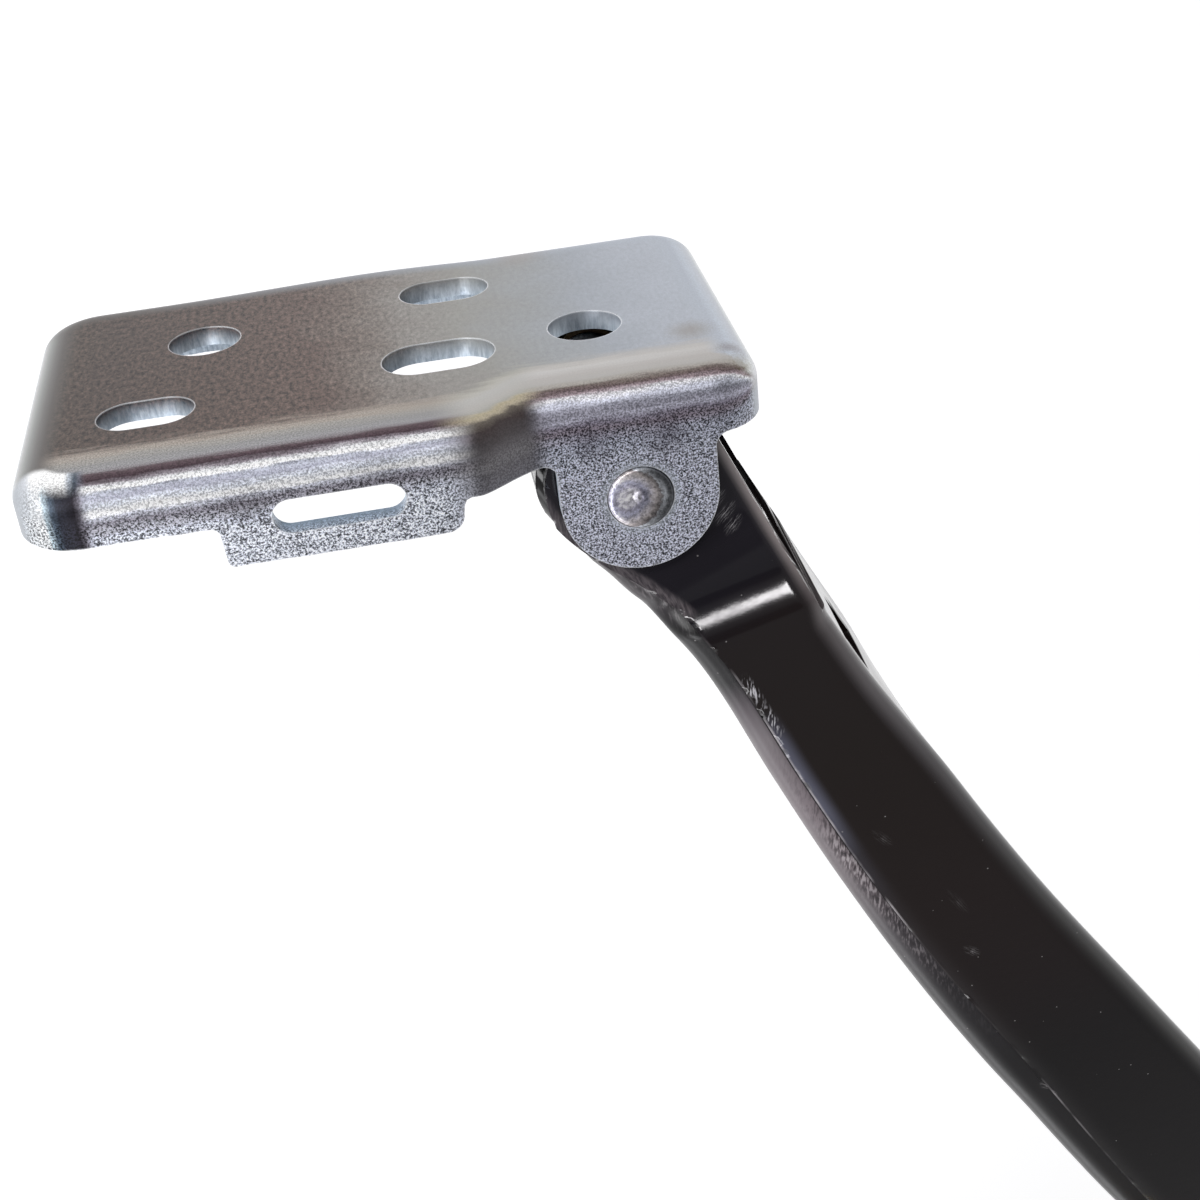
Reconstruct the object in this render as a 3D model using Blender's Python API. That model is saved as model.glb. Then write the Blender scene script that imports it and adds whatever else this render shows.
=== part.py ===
# Sliding door roller: a zinc plated hinge bracket, a curved black arm made of
# two nested pressed channels, and a swivelling carriage with one load roller
# and two guide rollers. Metres, +Z up. The hinge pin stands along Z, the outer
# face of the bracket plate is the plane y = 0 and looks along +Y.

import math

import bmesh
import bpy
from mathutils import Matrix, Vector

for old in list(bpy.data.objects):
    bpy.data.objects.remove(old, do_unlink=True)

MM = 0.001

# clearances
GAP = 0.3 * MM              # between neighbouring pieces that touch in the real part
ROLL_GAP = 0.35 * MM        # between balls and races

# bracket: a shallow pressed tray with all its edges folded down
SHEET_T = 3.0 * MM
TRAY_BEND = 4.5 * MM        # outer radius of the fold
TRAY_X0 = -44.1 * MM        # left end
TRAY_X1 = 61.4 * MM         # right end
TRAY_Z1 = 38.0 * MM         # front flange, outer face
TRAY_Z0 = -28.3 * MM        # back flange, outer face
TRAY_CORNER_L = 9.5 * MM
TRAY_CORNER_R = 8.0 * MM
STEP_X0 = 18.5 * MM         # the flanges step inwards between these two places
STEP_X1 = 29.0 * MM
STEP_FRONT = 5.5 * MM
STEP_BACK = 0.3 * MM
BACK_BOW = 1.2 * MM         # the back edge bulges a little before the step
BOW_X0 = -24.0 * MM
BOW_PEAK_X = 8.0 * MM
SKIRT_H = 34.0 * MM         # depth of the raw tray before its edge is trimmed

FLANGE_Y = -9.1 * MM        # lower edge of the plain flange
CORNER_LIFT = 0.4 * MM      # the edge rises by this much at the left end
LIFT_X = 9.0 * MM          # and starts to rise this far from it
TAB_X0 = -16.6 * MM
TAB_X1 = 16.6 * MM
TAB_Y = -15.4 * MM
TAB_CORNER = 2.6 * MM
STEP_EDGE_Y = -10.5 * MM    # lower edge between tab and ear
END_EDGE_Y = -9.4 * MM      # lower edge at the right end
EAR_R = 11.5 * MM
PIVOT_X = 42.0 * MM
PIVOT_Y = -17.6 * MM
EAR_FILLET = 2.0 * MM

# holes in the plate (x, z), all seen from the outer side
HOLE_D = 11.0 * MM
HOLE_A = (-17.6 * MM, -7.3 * MM)
HOLE_E = (39.1 * MM, 9.0 * MM)
SLOT_L = 14.0 * MM
SLOT_W = 9.3 * MM
SLOT_B = (-25.6 * MM, 16.7 * MM)
SLOT_C = (19.9 * MM, -13.3 * MM)
BIG_SLOT_L = 16.7 * MM
BIG_SLOT_W = 10.9 * MM
SLOT_D = (16.9 * MM, 12.2 * MM)
TAB_SLOT = (-0.1 * MM, -9.0 * MM)
TAB_SLOT_L = 18.5 * MM
TAB_SLOT_W = 5.1 * MM

# hinge pin and its flanged bushes
PIN_R = 4.6 * MM
PIN_PROUD = 0.45 * MM
PIN_DISH = 0.55 * MM
BUSH_T = 1.0 * MM
BUSH_FLANGE_T = 1.2 * MM
BUSH_FLANGE_R = 8.6 * MM

# arm: stations along a straight base line that starts on the hinge pin
ARM_TILT = math.radians(-66.0)
SHELL_T = 2.5 * MM
ARM_BEND = 4.2 * MM
ARM_TOP = 32.5 * MM         # outer face of the near wall beyond the step
SWIVEL_S = 228.0 * MM       # from the hinge pin to the roller end's pin
BENT_S = 60.0 * MM          # up to here the arm keeps its bends, whatever its length
STRETCH = (SWIVEL_S - BENT_S) / (168.0 * MM)
SWIVEL_OFF = 26.2 * MM
EAR_OUT_R = 13.2 * MM       # rounded end of the outer shell
EAR_IN_R = 14.2 * MM        # rounded end of the inner shell
EAR_TRIM = 12.4 * MM        # upper edge of the near ear, measured from the pin
EAR_TRIM_FAR = 12.6 * MM    # upper edge of the far ear where the web starts
EAR_TRIM_PIN = 10.9 * MM    # the same edge beside the pin
FAR_LIP = 3.0 * MM          # height of the bend left on the far ear
LEAN_MIN = 2.4 * MM         # the far bend stands at least this far inside the near one
TRIM_S0 = 22.0 * MM
TRIM_S1 = 35.5 * MM         # the web of the outer shell starts here
WEB_HOLE_S0 = 41.0 * MM
WEB_HOLE_S1 = 48.0 * MM
WEB_HOLE_Z0 = 8.0 * MM
WEB_HOLE_Z1 = 22.0 * MM
TIP_R = 12.6 * MM           # rounded roller end of the arm

# carriage: a folded plate on a pin that turns in the arm's end
SWIVEL_PIN_R = 4.5 * MM
CAR_T = 3.0 * MM
CAR_BEND = 4.5 * MM
CAR_HALF_X = 36.0 * MM
CAR_BACK_Y = 13.0 * MM
CAR_WING_Y = -21.0 * MM
CAR_TONGUE_Y = -38.0 * MM
CAR_TONGUE_HALF = 14.0 * MM
CAR_TONGUE_Z = 7.0 * MM
CAR_CORNER = 8.0 * MM

# load roller, axle along Y
LOAD_R = 13.5 * MM
TYRE_WALL = 0.2444 * LOAD_R  # from the tread to the outer race
RACE_SPACE = 0.3111 * LOAD_R # between the two races' plain faces, balls included
LOAD_W = 12.0 * MM
LOAD_Z = 17.6 * MM
LOAD_Y = -26.5 * MM         # middle of the roller from the swivel pin
RACE_OUT_R = LOAD_R - TYRE_WALL
RACE_IN_R = RACE_OUT_R - RACE_SPACE
RACE_BORE_T = 0.1481 * LOAD_R
AXLE_R = RACE_IN_R - RACE_BORE_T
SPACER_R = RACE_IN_R
BALL_R = 0.1185 * LOAD_R
BEARING_W = 8.0 * MM
BALLS = 9
CAGE_T = 0.0667 * LOAD_R

# guide rollers, axles along Z
GUIDE_EDGE = 11.0 * MM      # from a guide axle to the end of its wing
GUIDE_X = CAR_HALF_X - GUIDE_EDGE
GUIDE_Y = -6.0 * MM
GUIDE_R = 10.0 * MM
GUIDE_H = 9.0 * MM
GUIDE_AXLE_R = 3.0 * MM
GUIDE_SLEEVE_R = 4.4 * MM
GUIDE_RACE_R = 6.6 * MM


def smooth(t):
    t = min(max(t, 0.0), 1.0)
    return t * t * (3.0 - 2.0 * t)


def table(s, rows):
    """Smooth curve through (place, value) rows, all in millimetres."""
    s = s / MM
    if s <= rows[0][0]:
        return rows[0][1] * MM
    if s >= rows[-1][0]:
        return rows[-1][1] * MM
    for k in range(len(rows) - 1):
        a, va = rows[k]
        b, vb = rows[k + 1]
        if s <= b:
            before = rows[k - 1] if k > 0 else rows[k]
            after = rows[k + 2] if k + 2 < len(rows) else rows[k + 1]
            ma = (vb - before[1]) / max(b - before[0], 1e-9)
            mb = (after[1] - va) / max(after[0] - a, 1e-9)
            t = (s - a) / (b - a)
            h = b - a
            p = (2 * t ** 3 - 3 * t ** 2 + 1) * va + (t ** 3 - 2 * t ** 2 + t) * h * ma
            p += (-2 * t ** 3 + 3 * t ** 2) * vb + (t ** 3 - t ** 2) * h * mb
            return p * MM
    return rows[-1][1] * MM


def material(name, hexcolour, rough, metal):
    m = bpy.data.materials.new(name)
    m.use_nodes = True
    b = m.node_tree.nodes["Principled BSDF"]
    rgb = [int(hexcolour[k:k + 2], 16) / 255.0 for k in (0, 2, 4)]
    lin = [c / 12.92 if c <= 0.04045 else ((c + 0.055) / 1.055) ** 2.4 for c in rgb]
    b.inputs["Base Color"].default_value = (*lin, 1.0)
    b.inputs["Roughness"].default_value = rough
    b.inputs["Metallic"].default_value = metal
    m.diffuse_color = (*lin, 1.0)
    return m


ZINC = material("zinc_plated_sheet", "9ea3ab", 0.42, 0.9)
PIN_STEEL = material("spun_pin_steel", "77767a", 0.35, 0.95)
BLACK = material("gloss_black_paint", "211d1c", 0.22, 0.0)
BRONZE = material("sintered_bronze", "8a6a3f", 0.5, 0.8)
STEEL = material("turned_axle_steel", "a9abae", 0.3, 0.95)
BEARING = material("ground_bearing_steel", "c6c9cc", 0.18, 1.0)
CAGE = material("stamped_cage_steel", "8e9297", 0.35, 0.9)
TYRE = material("black_roller_nylon", "1c1c1d", 0.5, 0.0)
NATURAL = material("cream_guide_nylon", "cfc6b0", 0.45, 0.0)
CLIP = material("spring_clip_steel", "3b3e43", 0.4, 0.9)


def finish(name, bm, mat, origin, angle=32.0):
    bmesh.ops.remove_doubles(bm, verts=bm.verts, dist=2e-6)
    bmesh.ops.recalc_face_normals(bm, faces=bm.faces)
    if bm.calc_volume(signed=True) < 0:
        bmesh.ops.reverse_faces(bm, faces=bm.faces)
    for f in bm.faces:
        f.smooth = True
    mesh = bpy.data.meshes.new(name)
    bmesh.ops.translate(bm, verts=bm.verts, vec=-Vector(origin))
    bm.to_mesh(mesh)
    bm.free()
    mesh.set_sharp_from_angle(angle=math.radians(angle))
    obj = bpy.data.objects.new(name, mesh)
    obj.location = origin
    mesh.materials.append(mat)
    bpy.context.scene.collection.objects.link(obj)
    return obj


def cutter(name, bm):
    obj = finish(name, bm, STEEL, (0.0, 0.0, 0.0), 60.0)
    obj.hide_render = True
    obj.display_type = "WIRE"
    return obj


def boolean(obj, tool, operation="DIFFERENCE"):
    mod = obj.modifiers.new(tool.name, "BOOLEAN")
    mod.operation = operation
    mod.solver = "EXACT"
    mod.object = tool


def loft(rings, cap=True):
    """Skin over rings of equal length, first and last ring closed by caps."""
    bm = bmesh.new()
    rows = [[bm.verts.new(p) for p in ring] for ring in rings]
    n = len(rows[0])
    for a, b in zip(rows, rows[1:]):
        for k in range(n):
            bm.faces.new((a[k], a[(k + 1) % n], b[(k + 1) % n], b[k]))
    if cap:
        bm.faces.new(rows[0][::-1])
        bm.faces.new(rows[-1])
    return bm


def prism(points, axis, low, high):
    """Straight block: a flat outline pushed along axis x, y or z."""
    def put(u, v, w):
        if axis == "z":
            return (u, v, w)
        if axis == "y":
            return (u, w, v)
        return (w, u, v)
    bm = bmesh.new()
    base = [bm.verts.new(put(u, v, low)) for u, v in points]
    face = bm.faces.new(base)
    out = bmesh.ops.extrude_face_region(bm, geom=[face])
    moved = [g for g in out["geom"] if isinstance(g, bmesh.types.BMVert)]
    step = Vector(put(0.0, 0.0, high)) - Vector(put(0.0, 0.0, low))
    bmesh.ops.translate(bm, verts=moved, vec=step)
    return bm


def circle(cx, cy, r, n=32):
    return [(cx + r * math.cos(2 * math.pi * k / n), cy + r * math.sin(2 * math.pi * k / n))
            for k in range(n)]


def slot(cx, cy, length, width, n=12):
    r = width / 2
    h = length / 2 - r
    pts = []
    for side, start in ((1, -0.5 * math.pi), (-1, 0.5 * math.pi)):
        for k in range(n + 1):
            a = start + math.pi * k / n
            pts.append((cx + side * h + r * math.cos(a), cy + r * math.sin(a)))
    return pts


def arc(cx, cy, r, a0, a1, n):
    return [(cx + r * math.cos(a0 + (a1 - a0) * k / n), cy + r * math.sin(a0 + (a1 - a0) * k / n))
            for k in range(n + 1)]


def turned(profile, centre, axis="z", steps=28):
    """Lathe work: a closed (radius, height) outline spun once round the axis."""
    bm = bmesh.new()
    verts = [bm.verts.new((max(r, 0.0), 0.0, h)) for r, h in profile]
    on_axis = profile[0][0] <= 0.0 and profile[-1][0] <= 0.0
    edges = [bm.edges.new((a, b)) for a, b in zip(verts, verts[1:])]
    if not on_axis:
        edges.append(bm.edges.new((verts[-1], verts[0])))
    bmesh.ops.spin(bm, geom=verts + edges, cent=(0, 0, 0), axis=(0, 0, 1),
                   angle=2 * math.pi, steps=steps, use_merge=True)
    bmesh.ops.remove_doubles(bm, verts=bm.verts, dist=1e-6)
    turn = Matrix.Identity(4)
    if axis == "y":
        turn = Matrix.Rotation(-math.pi / 2, 4, "X")
    if axis == "-y":
        turn = Matrix.Rotation(math.pi / 2, 4, "X")
    bmesh.ops.transform(bm, matrix=Matrix.Translation(centre) @ turn, verts=bm.verts)
    return bm


# ---------------------------------------------------------------- bracket
# Deep drawn tray, then one profile cut shapes the flange edge, tabs and ears.

def tray_outline(inset):
    x0 = TRAY_X0 + inset
    x1 = TRAY_X1 - inset
    rl = TRAY_CORNER_L - inset
    rr = TRAY_CORNER_R - inset
    pts = []

    def front(x):
        return TRAY_Z1 - inset - STEP_FRONT * smooth((x - STEP_X0) / (STEP_X1 - STEP_X0))

    def back(x):
        bow = smooth((x - BOW_X0) / (BOW_PEAK_X - BOW_X0)) * (1.0 - smooth((x - BOW_PEAK_X) / (STEP_X1 - BOW_PEAK_X)))
        return TRAY_Z0 + inset - BACK_BOW * bow + STEP_BACK * smooth((x - STEP_X0) / (STEP_X1 - STEP_X0))

    xs = [STEP_X0 + (STEP_X1 - STEP_X0) * k / 8 for k in range(9)]
    mids = [x0 + rl + (STEP_X0 - x0 - rl) * k / 6 for k in range(6)]
    tail = [STEP_X1 + (x1 - rr - STEP_X1) * k / 3 for k in range(1, 3)]
    for x in mids + xs + tail:
        pts.append((x, front(x)))
    z1 = front(x1)
    z0 = back(x1)
    pts += arc(x1 - rr, z1 - rr, rr, 0.5 * math.pi, 0.0, 6)
    pts += arc(x1 - rr, z0 + rr, rr, 0.0, -0.5 * math.pi, 6)
    for x in (mids + xs + tail)[::-1]:
        pts.append((x, back(x)))
    pts.pop()
    pts += arc(x0 + rl, back(x0) + rl, rl, -0.5 * math.pi, -math.pi, 8)
    pts += arc(x0 + rl, front(x0) - rl, rl, math.pi, 0.5 * math.pi, 8)[:-1]
    return pts


def tray_ring(inset, y):
    return [(x, y, z) for x, z in tray_outline(inset)]


inner_bend = TRAY_BEND - SHEET_T
rings = []
for k in range(6):
    a = 0.5 * math.pi * k / 5
    rings.append(tray_ring(TRAY_BEND - TRAY_BEND * math.sin(a), -TRAY_BEND + TRAY_BEND * math.cos(a)))
rings.append(tray_ring(0.0, -SKIRT_H))
rings.append(tray_ring(SHEET_T, -SKIRT_H))
for k in range(4):
    a = 0.5 * math.pi * (1 - k / 3)
    rings.append(tray_ring(TRAY_BEND - inner_bend * math.sin(a), -TRAY_BEND + inner_bend * math.cos(a)))
bracket = finish("bracket_plate", loft(rings), ZINC, (0.0, 0.0, 0.0))

ear_left = PIVOT_X - EAR_R
ear_right = PIVOT_X + EAR_R
f = EAR_FILLET
edge = [(TRAY_X0 - 5 * MM, FLANGE_Y + CORNER_LIFT), (TRAY_X0, FLANGE_Y + CORNER_LIFT)]
edge += [(TRAY_X0 + 0.5 * LIFT_X, FLANGE_Y + 0.35 * CORNER_LIFT), (TRAY_X0 + LIFT_X, FLANGE_Y)]
edge += [(TAB_X0 - 0.8 * MM, FLANGE_Y)]
edge += [(TAB_X0, FLANGE_Y - 0.8 * MM), (TAB_X0 + 0.3 * MM, TAB_Y + 0.6 * MM)]
edge += [(TAB_X0 + 0.9 * MM, TAB_Y)]
edge += arc(TAB_X1 - TAB_CORNER, TAB_Y + TAB_CORNER, TAB_CORNER, -0.5 * math.pi, 0.0, 5)
edge += [(TAB_X1 + 0.2 * MM, STEP_EDGE_Y - 1.0 * MM), (TAB_X1 + 1.2 * MM, STEP_EDGE_Y)]
edge += arc(ear_left - f, STEP_EDGE_Y - f, f, 0.5 * math.pi, 0.0, 5)
edge += arc(PIVOT_X, PIVOT_Y, EAR_R, math.pi, 2 * math.pi, 28)
edge += arc(ear_right + f, END_EDGE_Y - f, f, math.pi, 0.5 * math.pi, 5)
edge += [(TRAY_X1 + 5 * MM, END_EDGE_Y), (TRAY_X1 + 5 * MM, -SKIRT_H - 5 * MM)]
edge += [(TRAY_X0 - 5 * MM, -SKIRT_H - 5 * MM)]
trim = cutter("cut_flange_edge", prism(edge, "z", TRAY_Z0 - 5 * MM, TRAY_Z1 + 5 * MM))
boolean(bracket, trim)

holes = bmesh.new()
for pts in (circle(*HOLE_A, HOLE_D / 2), circle(*HOLE_E, HOLE_D / 2),
            slot(*SLOT_B, SLOT_L, SLOT_W), slot(*SLOT_C, SLOT_L, SLOT_W),
            slot(*SLOT_D, BIG_SLOT_L, BIG_SLOT_W)):
    one = prism(pts, "y", -SHEET_T - 2 * MM, 2 * MM)
    temp = bpy.data.meshes.new("temp")
    one.to_mesh(temp)
    one.free()
    holes.from_mesh(temp)
    bpy.data.meshes.remove(temp)
boolean(bracket, cutter("cut_plate_holes", holes))
front_slot = prism(slot(*TAB_SLOT, TAB_SLOT_L, TAB_SLOT_W), "z", TRAY_Z1 - SHEET_T - 2 * MM, TRAY_Z1 + 2 * MM)
boolean(bracket, cutter("cut_tab_slot", front_slot))
ear_bore = prism(circle(PIVOT_X, PIVOT_Y, PIN_R + GAP), "z", TRAY_Z0 - 4 * MM, TRAY_Z1 + 4 * MM)
boolean(bracket, cutter("cut_ear_bores", ear_bore))

# hinge pin with a dished, spun-over head at both ends
ear_front = TRAY_Z1 - STEP_FRONT
ear_back = TRAY_Z0 + STEP_BACK
pin_top = ear_front + PIN_PROUD
pin_low = ear_back - PIN_PROUD
dish = PIN_DISH
pin_profile = [(0.0, pin_low + dish), (0.3 * PIN_R, pin_low + 0.9 * dish), (0.62 * PIN_R, pin_low + 0.45 * dish),
               (0.84 * PIN_R, pin_low), (0.95 * PIN_R, pin_low + 0.12 * MM), (PIN_R, pin_low + 0.45 * MM),
               (PIN_R, pin_top - 0.45 * MM), (0.95 * PIN_R, pin_top - 0.12 * MM), (0.84 * PIN_R, pin_top),
               (0.62 * PIN_R, pin_top - 0.45 * dish), (0.3 * PIN_R, pin_top - 0.9 * dish), (0.0, pin_top - dish)]
finish("hinge_pin", turned(pin_profile, (PIVOT_X, PIVOT_Y, 0.0)), PIN_STEEL, (PIVOT_X, PIVOT_Y, 0.0))

# ---------------------------------------------------------------- arm
# Base line frame: s runs along the arm from the pin, off runs across it.

ALONG = Vector((math.cos(ARM_TILT), math.sin(ARM_TILT), 0.0))
ACROSS = Vector((-math.sin(ARM_TILT), math.cos(ARM_TILT), 0.0))
PIVOT = Vector((PIVOT_X, PIVOT_Y, 0.0))



def along(rows):
    """Rows drawn for the usual arm, moved along with its length beyond the bends."""
    bent = BENT_S / MM
    return [(s if s <= bent else bent + (s - bent) * STRETCH, v) for s, v in rows]


LOWER = [(-16, -13.4), (0, -13.4), (10, -10.4), (16, -7.3), (22, -4.8), (31, -3.1), (42, -2.7), (60, -2.9),
         (85, -2.3), (110, -0.4), (142, 3.5), (168, 6.2), (190, 9.0), (240, 17.0)]
UPPER = [(-16, 15.0), (0, 15.0), (20, 15.0), (36, 15.4), (57, 16.7), (83, 18.9), (109, 22.2), (145, 28.4),
         (187, 35.5), (240, 42.6)]
STRIP = [(-16, 1.0), (4, 1.2), (12, 2.8), (19, 4.2), (28, 4.2), (42, 4.1), (85, 4.9), (110, 5.8), (128, 6.6),
         (142, 6.9), (158, 6.5), (187, 6.3), (240, 5.6)]
FAR_WALL = [(-16, -23.2), (18, -23.2), (60, -16.2), (100, -7.0), (150, 2.0), (200, 6.6), (240, 8.0)]
REACH = [(-16, 25.2), (20, 22.0), (36, 9.0), (198, 9.0), (218, 19.5), (240, 19.5)]
LOWER = along(LOWER)
UPPER = along(UPPER)
STRIP = along(STRIP)
FAR_WALL = along(FAR_WALL)
REACH = along(REACH)

ear_face = ear_front - SHEET_T - 2 * GAP - BUSH_FLANGE_T
far_ear_face = ear_back + SHEET_T + 2 * GAP + BUSH_FLANGE_T


def world(s, off, z):
    p = PIVOT + ALONG * s + ACROSS * off
    return (p.x, p.y, z)


def top_face(s):
    return ear_face + (ARM_TOP - ear_face) * smooth((s - 19 * MM) / (11 * MM))


def far_face(s):
    return max(table(s, FAR_WALL), far_ear_face)


def lean(s):
    depth = top_face(s) - far_face(s) - ARM_BEND
    return max(LEAN_MIN, 0.22 * depth * smooth((s - 24 * MM) / (80 * MM)))


def outer_section(s):
    zt = top_face(s)
    zb = far_face(s)
    lo = table(s, LOWER)
    up = table(s, UPPER)
    upb = up - lean(s)
    r = ARM_BEND
    q = ARM_BEND - SHELL_T
    sec = [(lo, zt), (0.5 * (lo + up), zt)]
    sec += [(up - r + r * math.sin(a), zt - r + r * math.cos(a)) for a in [0.5 * math.pi * k / 5 for k in range(6)]]
    sec += [(upb - r + r * math.cos(a), zb + r - r * math.sin(a)) for a in [0.5 * math.pi * k / 5 for k in range(6)]]
    sec += [(lo, zb), (lo, zb + SHELL_T)]
    sec += [(upb - r + q * math.cos(a), zb + r - q * math.sin(a)) for a in [0.5 * math.pi * (1 - k / 3) for k in range(4)]]
    sec += [(up - r + q * math.sin(a), zt - r + q * math.cos(a)) for a in [0.5 * math.pi * (1 - k / 3) for k in range(4)]]
    sec += [(0.5 * (lo + up), zt - SHELL_T), (lo, zt - SHELL_T)]
    return sec


def inner_section(s):
    zt = top_face(s) - SHELL_T - GAP
    zb = far_face(s) + SHELL_T + GAP
    lo = table(s, LOWER) - table(s, STRIP)
    near = min(table(s, LOWER) + table(s, REACH), table(s, UPPER) - ARM_BEND - 0.4 * MM)
    room = table(s, UPPER) - lean(s) - ARM_BEND + 0.5 * MM
    far = min(near, room)
    r = ARM_BEND
    q = ARM_BEND - SHELL_T
    sec = [(near, zt), (0.5 * (near + lo + r), zt)]
    sec += [(lo + r - r * math.sin(a), zt - r + r * math.cos(a)) for a in [0.5 * math.pi * k / 5 for k in range(6)]]
    sec += [(lo + r - r * math.cos(a), zb + r - r * math.sin(a)) for a in [0.5 * math.pi * k / 5 for k in range(6)]]
    sec += [(far, zb), (far, zb + SHELL_T)]
    sec += [(lo + r - q * math.cos(a), zb + r - q * math.sin(a)) for a in [0.5 * math.pi * (1 - k / 3) for k in range(4)]]
    sec += [(lo + r - q * math.sin(a), zt - r + q * math.cos(a)) for a in [0.5 * math.pi * (1 - k / 3) for k in range(4)]]
    sec += [(0.5 * (near + lo + r), zt - SHELL_T), (near, zt - SHELL_T)]
    return sec


STATIONS = [-15, 0, 8, 13, 17, 20, 22.5, 25, 27.5, 30, 34, 41, 50, 62, 76, 92, 110, 130, 152, 176, 200, 220, 240]
STATIONS = [s for s, _ in along([(s, 0.0) for s in STATIONS])]


def sweep(section):
    return loft([[world(s * MM, off, z) for off, z in section(s * MM)] for s in STATIONS])


outer_shell = finish("arm_outer_shell", sweep(outer_section), BLACK, PIVOT)
inner_shell = finish("arm_inner_shell", sweep(inner_section), BLACK, PIVOT)


def flat(points):
    """Outline given along the arm turned into world x, y."""
    return [world(s, off, 0.0)[:2] for s, off in points]


def rounded_start(radius):
    big = 30 * MM
    pts = arc(0.0, 0.0, radius, 1.5 * math.pi, 0.5 * math.pi, 24)
    pts += [(0.0, big), (-big, big), (-big, -big), (0.0, -big)]
    return flat(pts)


def rounded_tip(radius):
    big = 30 * MM
    c = (SWIVEL_S, SWIVEL_OFF)
    turn = math.radians(9.0)
    pts = arc(c[0], c[1], radius, 0.5 * math.pi + turn, -0.5 * math.pi + turn, 20)
    pts += [(c[0] + 6 * MM, c[1] - big), (c[0] + big, c[1] - big), (c[0] + big, c[1] + big), (c[0] - 6 * MM, c[1] + big)]
    return flat(pts)


z_low = far_ear_face - 10 * MM
z_high = ARM_TOP + 10 * MM
boolean(outer_shell, cutter("cut_outer_ear", prism(rounded_start(EAR_OUT_R), "z", z_low, z_high)))
boolean(inner_shell, cutter("cut_inner_ear", prism(rounded_start(EAR_IN_R), "z", z_low, z_high)))
up_at_end = table(TRIM_S1, UPPER)
relief = [(-25 * MM, EAR_TRIM), (TRIM_S0, EAR_TRIM), (TRIM_S1 - 2 * MM, up_at_end - 1.0 * MM),
          (TRIM_S1, up_at_end + 1.0 * MM), (TRIM_S1, 40 * MM), (-25 * MM, 40 * MM)]
boolean(outer_shell, cutter("cut_web_relief", prism(flat(relief), "z", far_ear_face + FAR_LIP, z_high)))
far_end = TRIM_S1 - 0.7 * MM
far_relief = [(-24 * MM, EAR_TRIM_PIN), (0.3 * TRIM_S0, EAR_TRIM_PIN), (TRIM_S0, EAR_TRIM_FAR)]
far_relief += [(far_end, EAR_TRIM_FAR), (far_end, 39 * MM)]
far_relief += [(-24 * MM, 39 * MM)]
boolean(outer_shell, cutter("cut_far_relief", prism(flat(far_relief), "z", z_low, far_ear_face + FAR_LIP + 0.6 * MM)))
web_cut = cutter("cut_inner_relief", prism(flat([(-25 * MM, EAR_TRIM), (60 * MM, EAR_TRIM), (60 * MM, 40 * MM),
                                                 (-25 * MM, 40 * MM)]), "z", z_low, z_high))
boolean(inner_shell, web_cut)
hole_block = [(WEB_HOLE_S0, 4 * MM), (WEB_HOLE_S1, 4 * MM), (WEB_HOLE_S1, 30 * MM), (WEB_HOLE_S0, 30 * MM)]
boolean(outer_shell, cutter("cut_web_hole", prism(flat(hole_block), "z", WEB_HOLE_Z0, WEB_HOLE_Z1)))
boolean(outer_shell, cutter("cut_outer_tip", prism(rounded_tip(TIP_R), "z", z_low, z_high)))
boolean(inner_shell, cutter("cut_inner_tip", prism(rounded_tip(TIP_R + 0.8 * MM), "z", z_low, z_high)))
arm_bores = prism(circle(PIVOT_X, PIVOT_Y, PIN_R + BUSH_T + 2 * GAP), "z", z_low, z_high)
boolean(outer_shell, cutter("cut_outer_bore", arm_bores))
arm_bores = prism(circle(PIVOT_X, PIVOT_Y, PIN_R + BUSH_T + 2 * GAP), "z", z_low, z_high)
boolean(inner_shell, cutter("cut_inner_bore", arm_bores))
SWIVEL = Vector(world(SWIVEL_S, SWIVEL_OFF, 0.0))
tip_r = SWIVEL_PIN_R + BUSH_T + 2 * GAP
boolean(outer_shell, cutter("cut_outer_swivel", prism(circle(SWIVEL.x, SWIVEL.y, tip_r), "z", -10 * MM, z_high)))
boolean(inner_shell, cutter("cut_inner_swivel", prism(circle(SWIVEL.x, SWIVEL.y, tip_r), "z", -10 * MM, z_high)))


def bush(name, bore, face, into, centre, grow):
    """Flanged bush: flange on the wall's outer face, barrel through the wall."""
    k = 1.0 if into > 0 else -1.0
    r0 = bore + GAP
    r1 = r0 + BUSH_T
    out = face - k * (GAP + BUSH_FLANGE_T)
    end = face + into
    c = 0.3 * MM
    profile = [(r0, out), (grow - c, out), (grow, out + k * c), (grow, face - k * GAP), (r1, face - k * GAP),
               (r1, end), (r0, end)]
    finish(name, turned(profile, centre), BRONZE, centre)


depth = 2 * SHELL_T + GAP
bush("hinge_bush_upper", PIN_R, ear_face, -depth, PIVOT, BUSH_FLANGE_R)
bush("hinge_bush_lower", PIN_R, far_ear_face, depth, PIVOT, BUSH_FLANGE_R)
tip_low = far_face(SWIVEL_S)
bush("swivel_bush_upper", SWIVEL_PIN_R, ARM_TOP, -depth, SWIVEL, BUSH_FLANGE_R)
bush("swivel_bush_lower", SWIVEL_PIN_R, 0.0 + min(tip_low, far_face(SWIVEL_S + TIP_R)), depth, SWIVEL, BUSH_FLANGE_R)

# ---------------------------------------------------------------- carriage
# Top plate over the arm's end with a tongue folded down for the load roller.

plate_low = ARM_TOP + 2 * GAP + BUSH_FLANGE_T
plate_high = plate_low + CAR_T
sx = SWIVEL.x
sy = SWIVEL.y


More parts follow.
